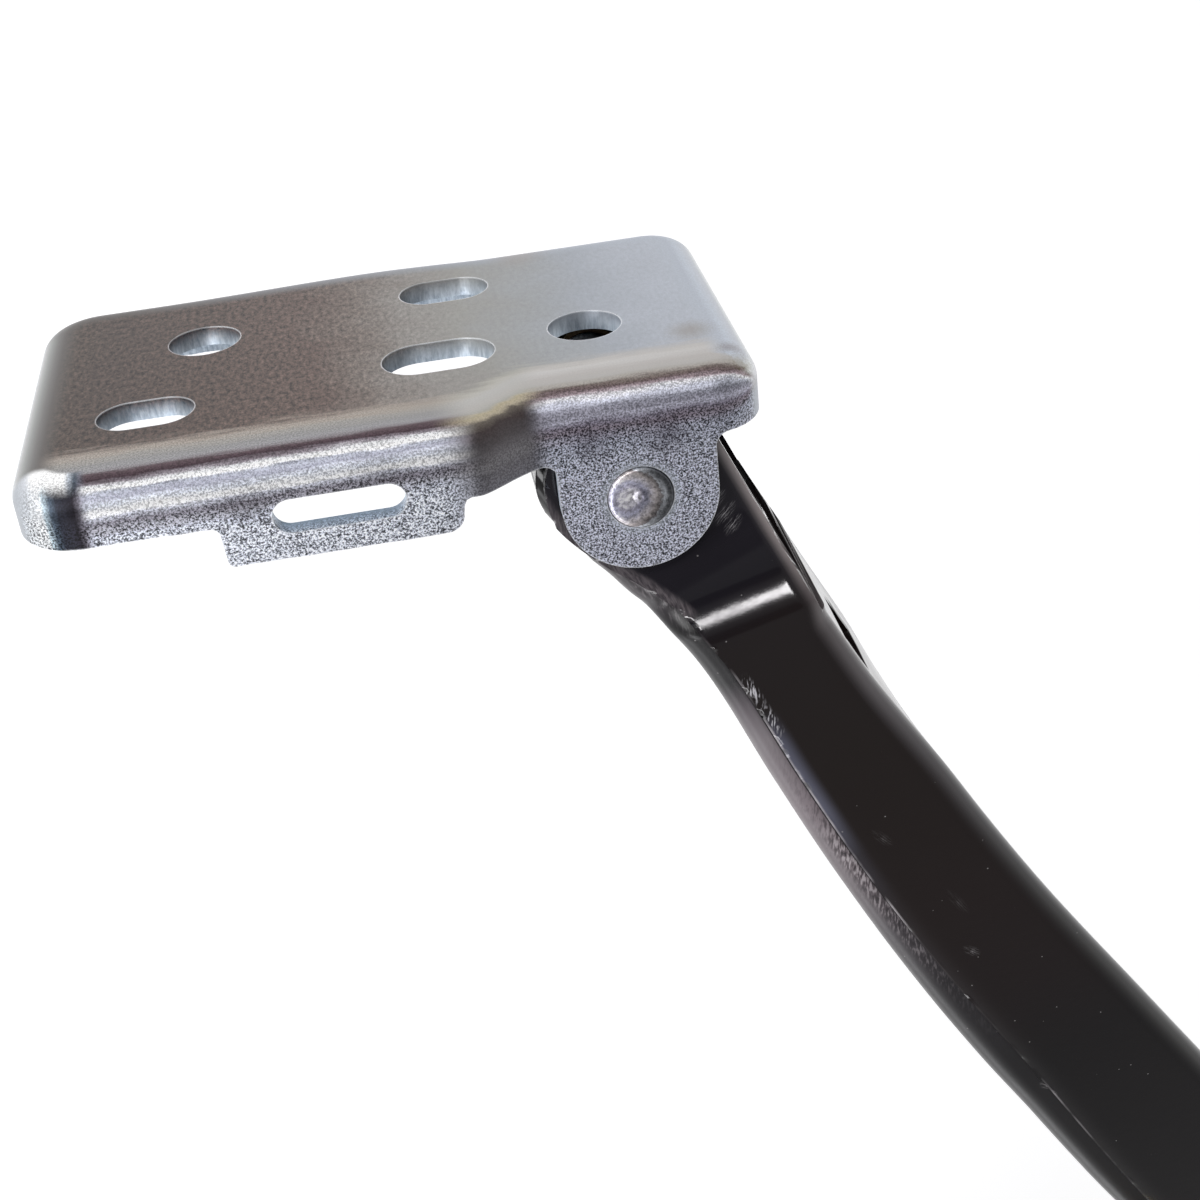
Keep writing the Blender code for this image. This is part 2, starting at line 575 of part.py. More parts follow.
def car_rings():
    """Cross section in y, z of the folded strip."""
    y_in = sy + CAR_TONGUE_Y + CAR_T
    y_out = sy + CAR_TONGUE_Y
    r = CAR_BEND
    q = CAR_BEND - CAR_T
    cy = y_out + r
    cz = plate_high - r
    sec = [(sy + CAR_BACK_Y, plate_high), (cy, plate_high)]
    sec += [(cy - r * math.sin(a), cz + r * math.cos(a)) for a in [0.5 * math.pi * k / 5 for k in range(1, 6)]]
    sec += [(y_out, CAR_TONGUE_Z), (y_in, CAR_TONGUE_Z)]
    sec += [(cy - q * math.cos(a), cz + q * math.sin(a)) for a in [0.5 * math.pi * k / 4 for k in range(0, 4)]]
    sec += [(cy, plate_low), (sy + CAR_BACK_Y, plate_low)]
    return sec


carriage = finish("carriage_frame", prism(car_rings(), "x", sx - CAR_HALF_X, sx + CAR_HALF_X), ZINC, SWIVEL)
wing = CAR_HALF_X
c = CAR_CORNER
plan = [(sx + wing + 5 * MM, sy + 20 * MM), (sx + wing + 5 * MM, sy - 60 * MM)]
plan += [(sx + CAR_TONGUE_HALF, sy - 60 * MM)]
plan += [(sx + CAR_TONGUE_HALF, sy + CAR_WING_Y - 3 * MM)]
plan += arc(sx + CAR_TONGUE_HALF + 3 * MM, sy + CAR_WING_Y - 3 * MM, 3 * MM, math.pi, 0.5 * math.pi, 4)
plan += arc(sx + wing - c, sy + CAR_WING_Y + c, c, -0.5 * math.pi, 0.0, 6)
plan += arc(sx + wing - c, sy + CAR_BACK_Y - c, c, 0.0, 0.5 * math.pi, 6)
plan += [(sx + wing - c, sy + 20 * MM)]
mirror_plan = [(2 * sx - x, y) for x, y in plan][::-1]
boolean(carriage, cutter("cut_wing_right", prism(plan, "z", CAR_TONGUE_Z - 5 * MM, plate_high + 5 * MM)))
boolean(carriage, cutter("cut_wing_left", prism(mirror_plan, "z", CAR_TONGUE_Z - 5 * MM, plate_high + 5 * MM)))
tongue = [(sx - 40 * MM, CAR_TONGUE_Z - 9 * MM), (sx - 40 * MM, LOAD_Z)]
tongue += arc(sx, CAR_TONGUE_Z + CAR_TONGUE_HALF, CAR_TONGUE_HALF, math.pi, 2 * math.pi, 16)
tongue += [(sx + 40 * MM, LOAD_Z), (sx + 40 * MM, CAR_TONGUE_Z - 9 * MM)]
boolean(carriage, cutter("cut_tongue_round", prism(tongue, "y", sy + CAR_TONGUE_Y - 5 * MM, sy + CAR_TONGUE_Y + 10 * MM)))
car_holes = bmesh.new()
hole_list = [(prism(circle(sx, sy, SWIVEL_PIN_R + GAP), "z", plate_low - 3 * MM, plate_high + 3 * MM))]
for side in (-1, 1):
    pts = circle(sx + side * GUIDE_X, sy + GUIDE_Y, GUIDE_AXLE_R + GAP, 28)
    hole_list.append(prism(pts, "z", plate_low - 3 * MM, plate_high + 3 * MM))
pts = circle(sx, LOAD_Z, AXLE_R + GAP, 32)
hole_list.append(prism(pts, "y", sy + CAR_TONGUE_Y - 3 * MM, sy + CAR_TONGUE_Y + 6 * MM))
for one in hole_list:
    temp = bpy.data.meshes.new("temp")
    one.to_mesh(temp)
    one.free()
    car_holes.from_mesh(temp)
    bpy.data.meshes.remove(temp)
boolean(carriage, cutter("cut_carriage_bores", car_holes))

# swivel pin, riveted over above the plate, held below by a washer and a clip
low_wall = min(tip_low, far_face(SWIVEL_S + TIP_R))
washer_top = low_wall - BUSH_FLANGE_T - 2 * GAP
WASHER_T = 1.5 * MM
CLIP_T = 1.2 * MM
groove_top = washer_top - WASHER_T - GAP
groove_low = groove_top - CLIP_T - 2 * GAP
pin_end = groove_low - 2.0 * MM
GROOVE_R = SWIVEL_PIN_R - 1.0 * MM
r = SWIVEL_PIN_R
head_r = 7.0 * MM
head_low = plate_high + GAP
swivel_profile = [(0.0, pin_end), (r - 0.6 * MM, pin_end), (r, pin_end + 0.6 * MM), (r, groove_low), (GROOVE_R, groove_low),
                  (GROOVE_R, groove_top), (r, groove_top), (r, head_low), (head_r, head_low),
                  (head_r, head_low + 0.7 * MM), (0.8 * head_r, head_low + 1.6 * MM), (0.4 * head_r, head_low + 2.0 * MM),
                  (0.0, head_low + 2.1 * MM)]
finish("swivel_pin", turned(swivel_profile, SWIVEL), STEEL, SWIVEL)


def ring(name, r0, r1, z0, z1, mat, centre, axis="z", c=0.25 * MM, steps=24):
    profile = [(r0, z0), (r1 - c, z0), (r1, z0 + c), (r1, z1 - c), (r1 - c, z1), (r0, z1)]
    if c <= 0.0:
        profile = [(r0, z0), (r1, z0), (r1, z1), (r0, z1)]
    return finish(name, turned(profile, centre, axis, steps), mat, centre)


ring("swivel_washer", SWIVEL_PIN_R + GAP, 8.6 * MM, washer_top - WASHER_T, washer_top, STEEL, SWIVEL)
clip_pts = arc(sx, sy, 7.4 * MM, math.radians(50), math.radians(310), 24)
clip_pts += arc(sx, sy, GROOVE_R + GAP, math.radians(318), math.radians(42), 18)
finish("swivel_clip", prism(clip_pts, "z", groove_low + GAP, groove_top - GAP), CLIP, SWIVEL)

# load roller: axle riveted in the tongue, inner race, ball cage, outer race, tyre
lc = Vector((sx, sy + LOAD_Y, LOAD_Z))
tongue_in = CAR_TONGUE_Y + CAR_T - LOAD_Y
tongue_out = CAR_TONGUE_Y - LOAD_Y
half = BEARING_W / 2
shoulder = tongue_in + GAP
head_r = AXLE_R + 2.4 * MM
tip = half + GAP
axle_profile = [(0.0, tongue_out - GAP - 2.0 * MM), (0.5 * head_r, tongue_out - GAP - 1.9 * MM),
                (0.86 * head_r, tongue_out - GAP - 1.3 * MM), (head_r, tongue_out - GAP - 0.6 * MM),
                (head_r, tongue_out - GAP), (AXLE_R, tongue_out - GAP), (AXLE_R, tip), (0.95 * head_r, tip),
                (0.95 * head_r, tip + 1.2 * MM), (0.6 * head_r, tip + 1.9 * MM), (0.0, tip + 2.0 * MM)]
finish("load_axle", turned(axle_profile, lc, "y"), STEEL, lc)
ring("load_spacer", AXLE_R + GAP, SPACER_R, tongue_in + GAP, -half - GAP, STEEL, lc, "y", 0.0)
pitch = 0.5 * (RACE_IN_R + RACE_OUT_R)


def race(name, r_plain, r_groove, inner, mat):
    """Bearing ring with a rolled groove for the balls."""
    b = half
    g = BALL_R + ROLL_GAP
    pts = []
    for k in range(9):
        a = math.pi * (k / 8)
        h = -g * math.cos(a)
        d = g * math.sin(a)
        pts.append((pitch + d if not inner else pitch - d, h))
    groove = [(rr, hh) for rr, hh in pts if (rr > r_plain if not inner else rr < r_plain)]
    if inner:
        prof = [(r_groove, -b), (r_plain, -b)] + groove + [(r_plain, b), (r_groove, b)]
    else:
        prof = [(r_groove, -b), (r_plain, -b)] + groove + [(r_plain, b), (r_groove, b)]
    return finish(name, turned(prof, lc, "y"), mat, lc)


race("load_race_inner", RACE_IN_R + 0.9 * MM, AXLE_R + GAP, True, BEARING)
race("load_race_outer", RACE_OUT_R - 0.9 * MM, RACE_OUT_R + 0.2 * MM, False, BEARING)
cage_r0 = pitch - 0.5 * CAGE_T
cage_r1 = pitch + 0.5 * CAGE_T
cage = ring("load_ball_cage", cage_r0, cage_r1, -half + 0.9 * MM, half - 0.9 * MM, CAGE, lc, "y", 0.1 * MM, 32)
balls = bmesh.new()
for k in range(BALLS):
    a = 2 * math.pi * k / BALLS
    place = lc + Vector((pitch * math.cos(a), 0.0, pitch * math.sin(a)))
    bmesh.ops.create_icosphere(balls, subdivisions=1, radius=BALL_R, matrix=Matrix.Translation(place))
boolean(cage, cutter("add_balls", balls), "UNION")
hw = LOAD_W / 2
t0 = RACE_OUT_R + 0.2 * MM + GAP
lip = half + GAP
tyre_profile = [(t0, -lip), (t0 - 1.1 * MM, -lip), (t0 - 1.1 * MM, -hw + 0.3 * MM), (t0 - 0.8 * MM, -hw),
                (LOAD_R - 1.2 * MM, -hw), (LOAD_R - 0.3 * MM, -hw + 0.6 * MM), (LOAD_R, -hw + 1.6 * MM),
                (LOAD_R, hw - 1.6 * MM), (LOAD_R - 0.3 * MM, hw - 0.6 * MM), (LOAD_R - 1.2 * MM, hw),
                (t0 - 0.8 * MM, hw), (t0 - 1.1 * MM, hw - 0.3 * MM), (t0 - 1.1 * MM, lip), (t0, lip)]
finish("load_tyre", turned(tyre_profile, lc, "y", 32), TYRE, lc)

# guide rollers: stepped stud riveted in the wing, sleeve, race and nylon tyre
for side, tag in ((-1, "left"), (1, "right")):
    gc = Vector((sx + side * GUIDE_X, sy + GUIDE_Y, plate_high))
    r = GUIDE_AXLE_R
    base = 1.0 * MM
    top = base + GAP + GUIDE_H
    stud = [(0.0, -CAR_T - GAP - 1.6 * MM), (0.9 * r, -CAR_T - GAP - 1.6 * MM), (1.6 * r, -CAR_T - GAP - 0.7 * MM),
            (1.6 * r, -CAR_T - GAP), (r, -CAR_T - GAP), (r, top + GAP), (2.0 * r, top + GAP),
            (2.0 * r, top + 1.2 * MM), (1.3 * r, top + 1.9 * MM), (0.0, top + 2.0 * MM)]
    finish("guide_stud_" + tag, turned(stud, gc), STEEL, gc)
    ring("guide_sleeve_" + tag, r + GAP, GUIDE_SLEEVE_R, GAP, top, STEEL, gc, "z", 0.0)
    ring("guide_race_" + tag, GUIDE_SLEEVE_R + GAP, GUIDE_RACE_R, base + GAP, top - 0.4 * MM, BEARING, gc, "z", 0.0)
    r0 = GUIDE_RACE_R + GAP
    z0 = base + GAP
    z1 = top - 0.4 * MM
    crown = [(r0, z0 + 0.2 * MM), (r0 + 0.2 * MM, z0), (GUIDE_R - 0.9 * MM, z0), (GUIDE_R - 0.2 * MM, z0 + 0.8 * MM),
             (GUIDE_R, 0.5 * (z0 + z1)), (GUIDE_R - 0.2 * MM, z1 - 0.8 * MM), (GUIDE_R - 0.9 * MM, z1),
             (r0 + 0.2 * MM, z1), (r0, z1 - 0.2 * MM)]
    finish("guide_tyre_" + tag, turned(crown, gc, "z", 32), NATURAL, gc)
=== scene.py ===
"""Looks of a sliding door roller: zinc plated bracket, black painted arm and the roller carriage at its end."""
import math
import random

import bmesh
import bpy
from mathutils import Matrix, Vector


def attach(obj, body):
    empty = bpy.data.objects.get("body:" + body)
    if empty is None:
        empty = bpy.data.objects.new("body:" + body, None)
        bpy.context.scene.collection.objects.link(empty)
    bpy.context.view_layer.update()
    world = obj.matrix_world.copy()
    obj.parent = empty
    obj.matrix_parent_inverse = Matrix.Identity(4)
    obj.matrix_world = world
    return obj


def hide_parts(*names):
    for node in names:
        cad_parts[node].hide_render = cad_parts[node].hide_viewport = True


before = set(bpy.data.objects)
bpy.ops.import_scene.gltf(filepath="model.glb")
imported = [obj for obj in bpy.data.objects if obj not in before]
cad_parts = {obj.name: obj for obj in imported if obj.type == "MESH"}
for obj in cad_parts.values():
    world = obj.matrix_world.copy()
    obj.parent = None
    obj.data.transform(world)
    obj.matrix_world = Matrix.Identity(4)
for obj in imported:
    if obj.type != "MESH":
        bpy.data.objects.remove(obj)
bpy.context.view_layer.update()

# ---- Door bracket ---------------------------------------------------------
# Shallow tray pressed from 3 mm steel sheet: its edges are folded down, the front one ends in a slotted
# tab and a hinge ear, the back one in a second ear. Zinc plated and clear passivated after pressing.
# All sizes in this file are millimetres; a piece is scaled to metres when it is finished.

SHEET = 3.0
FOLD_R = 4.5
TRAY_LEFT = -44.1
TRAY_RIGHT = 61.4
TRAY_FRONT = 38.0
TRAY_BACK = -28.3
CORNER_LEFT = 9.5
CORNER_RIGHT = 8.0
STEP_START = 18.5
STEP_END = 29.0
STEP_FRONT = 5.5
STEP_BACK = 0.3
BOW = 1.18
BOW_START = -24.0
BOW_PEAK = 8.0
SKIRT = 34.0
FLANGE_Y = -9.1
STEP_EDGE_Y = -10.5
END_EDGE_Y = -9.4
TAB_LEFT = -16.6
TAB_RIGHT = 16.6
TAB_Y = -15.4
TAB_CORNER = 2.6
EAR_R = 11.5
EAR_FILLET = 2.0
HINGE_X = 42.0
HINGE_Y = -17.6
PIN_R = 4.6
GAP = 0.3


def ease(t):
    """Slow start and slow end between 0 and 1."""
    t = min(max(t, 0.0), 1.0)
    return t * t * (3.0 - 2.0 * t)


def spaced(low, high, step):
    """Even places from low up to, but not at, high."""
    count = max(1, round(abs(high - low) / step))
    return [low + (high - low) * k / count for k in range(count)]


def arc(cx, cy, r, a0, a1, n):
    return [(cx + r * math.cos(a0 + (a1 - a0) * k / n), cy + r * math.sin(a0 + (a1 - a0) * k / n))
            for k in range(n + 1)]


def circle(cx, cy, r, n=64):
    return arc(cx, cy, r, 0.0, 2 * math.pi, n)[:-1]


def slot(cx, cy, length, width, n=24):
    """Long hole with round ends."""
    r = width / 2
    h = length / 2 - r
    return arc(cx + h, cy, r, -math.pi / 2, math.pi / 2, n) + arc(cx - h, cy, r, math.pi / 2, 1.5 * math.pi, n)


def prism(points, axis, low, high):
    """A flat outline pushed straight along axis x, y or z."""
    order = {"x": (2, 0, 1), "y": (0, 2, 1), "z": (0, 1, 2)}[axis]
    bm = bmesh.new()
    levels = []
    for w in (low, high):
        flat = [(u, v, w) for u, v in points]
        levels.append([bm.verts.new([p[k] for k in order]) for p in flat])
    count = len(points)
    for k in range(count):
        bm.faces.new((levels[0][k], levels[0][(k + 1) % count], levels[1][(k + 1) % count], levels[1][k]))
    bm.faces.new(levels[0][::-1])
    bm.faces.new(levels[1])
    return bm


def skin(rings):
    """Closed skin over rings of equal length."""
    bm = bmesh.new()
    rows = [[bm.verts.new(p) for p in ring] for ring in rings]
    n = len(rows[0])
    for a, b in zip(rows, rows[1:]):
        for k in range(n):
            bm.faces.new((a[k], a[(k + 1) % n], b[(k + 1) % n], b[k]))
    bm.faces.new(rows[0][::-1])
    bm.faces.new(rows[-1])
    return bm


def loose_object(name, bm):
    """Puts a mesh in the scene with its faces turned outwards."""
    bmesh.ops.recalc_face_normals(bm, faces=bm.faces)
    if bm.calc_volume(signed=True) < 0:
        bmesh.ops.reverse_faces(bm, faces=bm.faces)
    mesh = bpy.data.meshes.new(name)
    bm.to_mesh(mesh)
    bm.free()
    obj = bpy.data.objects.new(name, mesh)
    bpy.context.scene.collection.objects.link(obj)
    return obj


def made_piece(name, bm, cuts, edge, finish_material, body, nodes, steepest=38.0):
    """Cuts the blank, softens its edges, turns it into one plain mesh in metres and hangs it on its body."""
    blank = loose_object(name + ".blank", bm)
    tools = []
    for k, cut in enumerate(cuts):
        tool = loose_object(f"{name}.cut{k}", cut)
        tools.append(tool)
        mod = blank.modifiers.new(f"cut{k}", "BOOLEAN")
        mod.operation = "DIFFERENCE"
        mod.solver = "EXACT"
        mod.object = tool
    for poly in blank.data.polygons:
        poly.use_smooth = True
    if edge > 0.0:
        soft = blank.modifiers.new("edge", "BEVEL")
        soft.width = edge
        soft.segments = 3
        soft.limit_method = "ANGLE"
        soft.angle_limit = math.radians(steepest)
        soft.harden_normals = False
    weight = blank.modifiers.new("weight", "WEIGHTED_NORMAL")
    weight.keep_sharp = True
    bpy.context.view_layer.update()
    graph = bpy.context.evaluated_depsgraph_get()
    mesh = bpy.data.meshes.new_from_object(blank.evaluated_get(graph), depsgraph=graph)
    for obj in [blank] + tools:
        old = obj.data
        bpy.data.objects.remove(obj)
        bpy.data.meshes.remove(old)
    for poly in mesh.polygons:
        poly.use_smooth = True
    mesh.transform(Matrix.Scale(0.001, 4))
    mesh.name = name
    mesh.materials.clear()
    mesh.materials.append(finish_material)
    piece = bpy.data.objects.new(name, mesh)
    bpy.context.scene.collection.objects.link(piece)
    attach(piece, body)
    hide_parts(*nodes)
    return piece


def linear(code):
    """sRGB hex colour as linear red, green, blue, alpha."""
    parts = [int(code[k:k + 2], 16) / 255.0 for k in (1, 3, 5)]
    return tuple(c / 12.92 if c <= 0.04045 else ((c + 0.055) / 1.055) ** 2.4 for c in parts) + (1.0,)


def add(tree, kind, settings=None, inputs=None, stops=None):
    """Adds a node: its settings, its inputs (a socket is linked, anything else is set) and its ramp stops."""
    node = tree.nodes.new(kind)
    for key, value in (settings or {}).items():
        setattr(node, key, value)
    for key, value in (inputs or {}).items():
        if isinstance(value, bpy.types.NodeSocket):
            tree.links.new(value, node.inputs[key])
        else:
            node.inputs[key].default_value = value
    if stops:
        ramp = node.color_ramp
        ramp.elements.remove(ramp.elements[1])
        ramp.elements[0].position = stops[0][0]
        for place, value in stops[1:]:
            ramp.elements.new(place)
        for spot, (place, value) in zip(ramp.elements, stops):
            spot.color = linear(value)
    return node


def front_line(x):
    return TRAY_FRONT - STEP_FRONT * ease((x - STEP_START) / (STEP_END - STEP_START))


def back_line(x):
    swell = ease((x - BOW_START) / (BOW_PEAK - BOW_START)) * (1.0 - ease((x - BOW_PEAK) / (STEP_END - BOW_PEAK)))
    return TRAY_BACK - BOW * swell + STEP_BACK * ease((x - STEP_START) / (STEP_END - STEP_START))


def tray_ring(inset, y):
    """The tray's outline, moved inwards by inset, at height y."""
    x0 = TRAY_LEFT + inset
    x1 = TRAY_RIGHT - inset
    rl = CORNER_LEFT - inset
    rr = CORNER_RIGHT - inset
    xs = spaced(x0 + rl, STEP_START, 2.0) + spaced(STEP_START, STEP_END, 0.6) + spaced(STEP_END, x1 - rr, 2.0)
    ring = [(x, front_line(x) - inset) for x in xs]
    ring += arc(x1 - rr, front_line(x1) - inset - rr, rr, math.pi / 2, 0.0, 18)
    ring += arc(x1 - rr, back_line(x1) + inset + rr, rr, 0.0, -math.pi / 2, 18)
    ring += [(x, back_line(x) + inset) for x in xs[1:][::-1]]
    ring += arc(x0 + rl, back_line(x0) + inset + rl, rl, -math.pi / 2, -math.pi, 20)
    ring += arc(x0 + rl, front_line(x0) - inset - rl, rl, math.pi, math.pi / 2, 20)[:-1]
    return [(x, y, z) for x, z in ring]


tray_rings = [tray_ring(inset, 0.0) for inset in (7.3, 6.4, 5.4)]
for k in range(15):
    a = 0.5 * math.pi * k / 14
    tray_rings.append(tray_ring(FOLD_R - FOLD_R * math.sin(a), -FOLD_R + FOLD_R * math.cos(a)))
for y in (-5.5, -6.5, -7.5, -8.5, -10.0, -12.0, -15.0, -20.0, -26.0, -SKIRT):
    tray_rings.append(tray_ring(0.0, y))
for y in (-SKIRT, -26.0, -20.0, -15.0, -12.0, -10.0, -8.5, -7.0, -5.5):
    tray_rings.append(tray_ring(SHEET, y))
for k in range(9):
    a = 0.5 * math.pi * (1 - k / 8)
    r = FOLD_R - SHEET
    tray_rings.append(tray_ring(FOLD_R - r * math.sin(a), -FOLD_R + r * math.cos(a)))
tray_rings.append(tray_ring(7.3, -SHEET))

# the sheared edge is never quite straight: each place on it is moved by a few hundredths
shear = random.Random(5)
ear_left = HINGE_X - EAR_R
ear_right = HINGE_X + EAR_R
f = EAR_FILLET
edge_line = [(TRAY_LEFT - 5.0, FLANGE_Y + 0.4), (TRAY_LEFT, FLANGE_Y + 0.4), (TRAY_LEFT + 4.5, FLANGE_Y + 0.14)]
edge_line += [(x, FLANGE_Y + shear.uniform(-0.09, 0.09)) for x in spaced(TRAY_LEFT + 9.0, TAB_LEFT - 0.9, 2.2)]
edge_line += [(TAB_LEFT - 0.8, FLANGE_Y - 0.1), (TAB_LEFT - 0.1, FLANGE_Y - 0.8), (TAB_LEFT + 0.2, TAB_Y + 0.9)]
edge_line += [(TAB_LEFT + 0.45, TAB_Y + 0.3), (TAB_LEFT + 1.0, TAB_Y)]
edge_line += [(x, TAB_Y + shear.uniform(-0.08, 0.08)) for x in spaced(TAB_LEFT + 3.0, TAB_RIGHT - TAB_CORNER - 0.5, 2.6)]
edge_line += arc(TAB_RIGHT - TAB_CORNER, TAB_Y + TAB_CORNER, TAB_CORNER, -math.pi / 2, 0.0, 10)
edge_line += [(TAB_RIGHT + 0.2, STEP_EDGE_Y - 1.1), (TAB_RIGHT + 0.6, STEP_EDGE_Y - 0.3), (TAB_RIGHT + 1.3, STEP_EDGE_Y)]
edge_line += [(x, STEP_EDGE_Y + shear.uniform(-0.08, 0.08)) for x in spaced(TAB_RIGHT + 3.0, ear_left - f - 0.5, 2.1)]
edge_line += arc(ear_left - f, STEP_EDGE_Y - f, f, math.pi / 2, 0.0, 8)
edge_line += arc(HINGE_X, HINGE_Y, EAR_R, math.pi, 2 * math.pi, 60)
edge_line += arc(ear_right + f, END_EDGE_Y - f, f, math.pi, math.pi / 2, 8)
edge_line += [(TRAY_RIGHT + 5.0, END_EDGE_Y), (TRAY_RIGHT + 5.0, -SKIRT - 5.0), (TRAY_LEFT - 5.0, -SKIRT - 5.0)]

bracket_cuts = [prism(edge_line, "z", TRAY_BACK - 5.0, TRAY_FRONT + 5.0)]
PLATE_HOLES = (circle(-17.6, -7.3, 5.5), circle(39.1, 9.0, 5.5), slot(-25.6, 16.7, 14.0, 9.3),
               slot(19.9, -13.3, 14.0, 9.3), slot(16.9, 12.2, 16.7, 10.9))
for outline in PLATE_HOLES:
    bracket_cuts.append(prism(outline, "y", -SHEET - 2.0, 2.0))
bracket_cuts.append(prism(slot(-0.1, -9.0, 18.5, 5.1), "z", TRAY_FRONT - SHEET - 2.0, TRAY_FRONT + 2.0))
bracket_cuts.append(prism(circle(HINGE_X, HINGE_Y, PIN_R + GAP), "z", TRAY_BACK - 4.0, TRAY_FRONT + 4.0))


def turned_place(u):
    """Where a point u mm round the front fold (0 where the fold starts) falls on the ramps below, from 0 to 1."""
    quarter = 0.5 * math.pi * FOLD_R
    if u < 0.0:
        u = FOLD_R * math.atan(u / FOLD_R)
    elif u > quarter:
        u = quarter + FOLD_R * math.atan((u - quarter) / FOLD_R)
    return (u + quarter) / (3 * quarter)


# Zinc plated steel, clear passivated: the crystals of the plating give a fine salt and pepper sparkle on
# the stretched folds and ears; the flat sheet carries a painted reflection, dark brownish grey to light bluish grey.
zinc_bracket = bpy.data.materials.new("zinc_plated_pressed_steel")
zinc_bracket.use_nodes = True
tree = zinc_bracket.node_tree
tree.nodes.clear()
coord = add(tree, "ShaderNodeTexCoord")
mm = add(tree, "ShaderNodeVectorMath", {"operation": "SCALE"}, {0: coord.outputs["Object"], "Scale": 1000.0})
place = mm.outputs["Vector"]
axes = add(tree, "ShaderNodeSeparateXYZ", inputs={0: place})
along, up, out = axes.outputs["X"], axes.outputs["Y"], axes.outputs["Z"]
side_turn = add(tree, "ShaderNodeAttribute", {"attribute_name": "facing_front"}).outputs["Fac"]
side_place = add(tree, "ShaderNodeAttribute", {"attribute_name": "fold_place"}).outputs["Fac"]

# slow cloudiness, 15 mm wide, bends every border between two tones
cloud = add(tree, "ShaderNodeTexNoise", inputs={"Vector": place, "Scale": 0.07, "Detail": 3.0, "Roughness": 0.55})
cloud_shift = add(tree, "ShaderNodeMath", {"operation": "MULTIPLY_ADD"},
                  {0: cloud.outputs["Fac"], 1: 16.0, 2: -8.0})
cloudy_x = add(tree, "ShaderNodeMath", {"operation": "ADD"}, {0: along, 1: cloud_shift.outputs[0]})
# painted reflection: the flat plate drawn dark brownish grey at the left, light bluish grey at the right
plate_scale = add(tree, "ShaderNodeMapRange", inputs={"Value": cloudy_x.outputs[0], "From Min": -44.0, "From Max": 62.0})
plate_reflection_tone = add(tree, "ShaderNodeValToRGB", inputs={"Fac": plate_scale.outputs[0]}, stops=[
    (0.00, "#4e423a"), (0.12, "#493c37"), (0.25, "#51423c"), (0.40, "#5c4c46"), (0.47, "#726862"),
    (0.55, "#8c8884"), (0.63, "#959490"), (0.72, "#9b9ea1"), (0.80, "#a1a6ae"), (0.90, "#aeb3bc"), (1.00, "#b6bcc6")])
mottle_vector = add(tree, "ShaderNodeVectorMath", {"operation": "MULTIPLY"}, {0: place, 1: (1.4, 1.4, 0.8)})
mottle = add(tree, "ShaderNodeTexNoise", inputs={"Vector": mottle_vector.outputs["Vector"], "Scale": 1.0, "Detail": 3.0,
                                                 "Roughness": 0.75})
mottle_depth = add(tree, "ShaderNodeMapRange", {"interpolation_type": "SMOOTHSTEP"},
                   {"Value": along, "From Min": -8.0, "From Max": 24.0, "To Min": 5.4, "To Max": 0.5})
mottle_off = add(tree, "ShaderNodeMath", {"operation": "SUBTRACT"}, {0: mottle.outputs["Fac"], 1: 0.5})
mottle_gain = add(tree, "ShaderNodeMath", {"operation": "MULTIPLY_ADD"},
                  {0: mottle_off.outputs[0], 1: mottle_depth.outputs[0], 2: 1.0})
mottled = add(tree, "ShaderNodeVectorMath", {"operation": "SCALE"},
              {0: plate_reflection_tone.outputs[0], "Scale": mottle_gain.outputs[0]})

# the fold, unrolled: u runs over the plate, round the bend and down the flange
line_step = add(tree, "ShaderNodeMapRange", {"interpolation_type": "SMOOTHSTEP"},
                {"Value": along, "From Min": STEP_START, "From Max": STEP_END, "To Min": TRAY_FRONT,
                 "To Max": TRAY_FRONT - STEP_FRONT})
behind = add(tree, "ShaderNodeMath", {"operation": "SUBTRACT"}, {0: line_step.outputs[0], 1: out})
over = add(tree, "ShaderNodeMath", {"operation": "SUBTRACT"}, {0: FOLD_R, 1: behind.outputs[0]})
drop = add(tree, "ShaderNodeMath", {"operation": "ADD"}, {0: up, 1: FOLD_R})
turn = add(tree, "ShaderNodeMath", {"operation": "ARCTAN2"}, {0: over.outputs[0], 1: drop.outputs[0]})
stretch = add(tree, "ShaderNodeVectorMath", {"operation": "MULTIPLY"}, {0: place, 1: (0.10, 0.9, 0.9)})
streak = add(tree, "ShaderNodeTexNoise", inputs={"Vector": stretch.outputs["Vector"], "Scale": 1.0, "Detail": 4.0,
                                                 "Roughness": 0.6})
unrolled = add(tree, "ShaderNodeMath", {"operation": "MULTIPLY_ADD"},
               {0: turn.outputs[0], 1: 1.0 / (1.5 * math.pi), 2: 1.0 / 3.0})
streak_shift = add(tree, "ShaderNodeMath", {"operation": "MULTIPLY_ADD"},
                   {0: streak.outputs["Fac"], 1: 0.09, 2: -0.045})
wavy = add(tree, "ShaderNodeMath", {"operation": "ADD"}, {0: unrolled.outputs[0], 1: streak_shift.outputs[0]})
# painted reflections round the front fold: these ramps draw its dark maroon bands and white highlights into the colour
LEFT_FOLD = [(-10, "#6f6259"), (-7, "#9c9187"), (-5, "#a0978e"), (-3.5, "#989591"), (-2, "#8f8e8e"), (-0.6, "#949396"),
             (0.2, "#857f83"), (0.8, "#5a4a50"), (1.8, "#4a3b42"), (2.4, "#9a929a"), (2.9, "#f4f5f8"), (3.5, "#ffffff"),
             (4.0, "#a5a9b4"), (4.7, "#8d8f9b"), (5.6, "#d6dae4"), (6.6, "#ffffff"), (7.3, "#b4b6c0"), (8.2, "#77747d"),
             (9.4, "#94949c"), (10.6, "#b4b7c2"), (12.5, "#c6cad5"), (15, "#c2c6d1")]
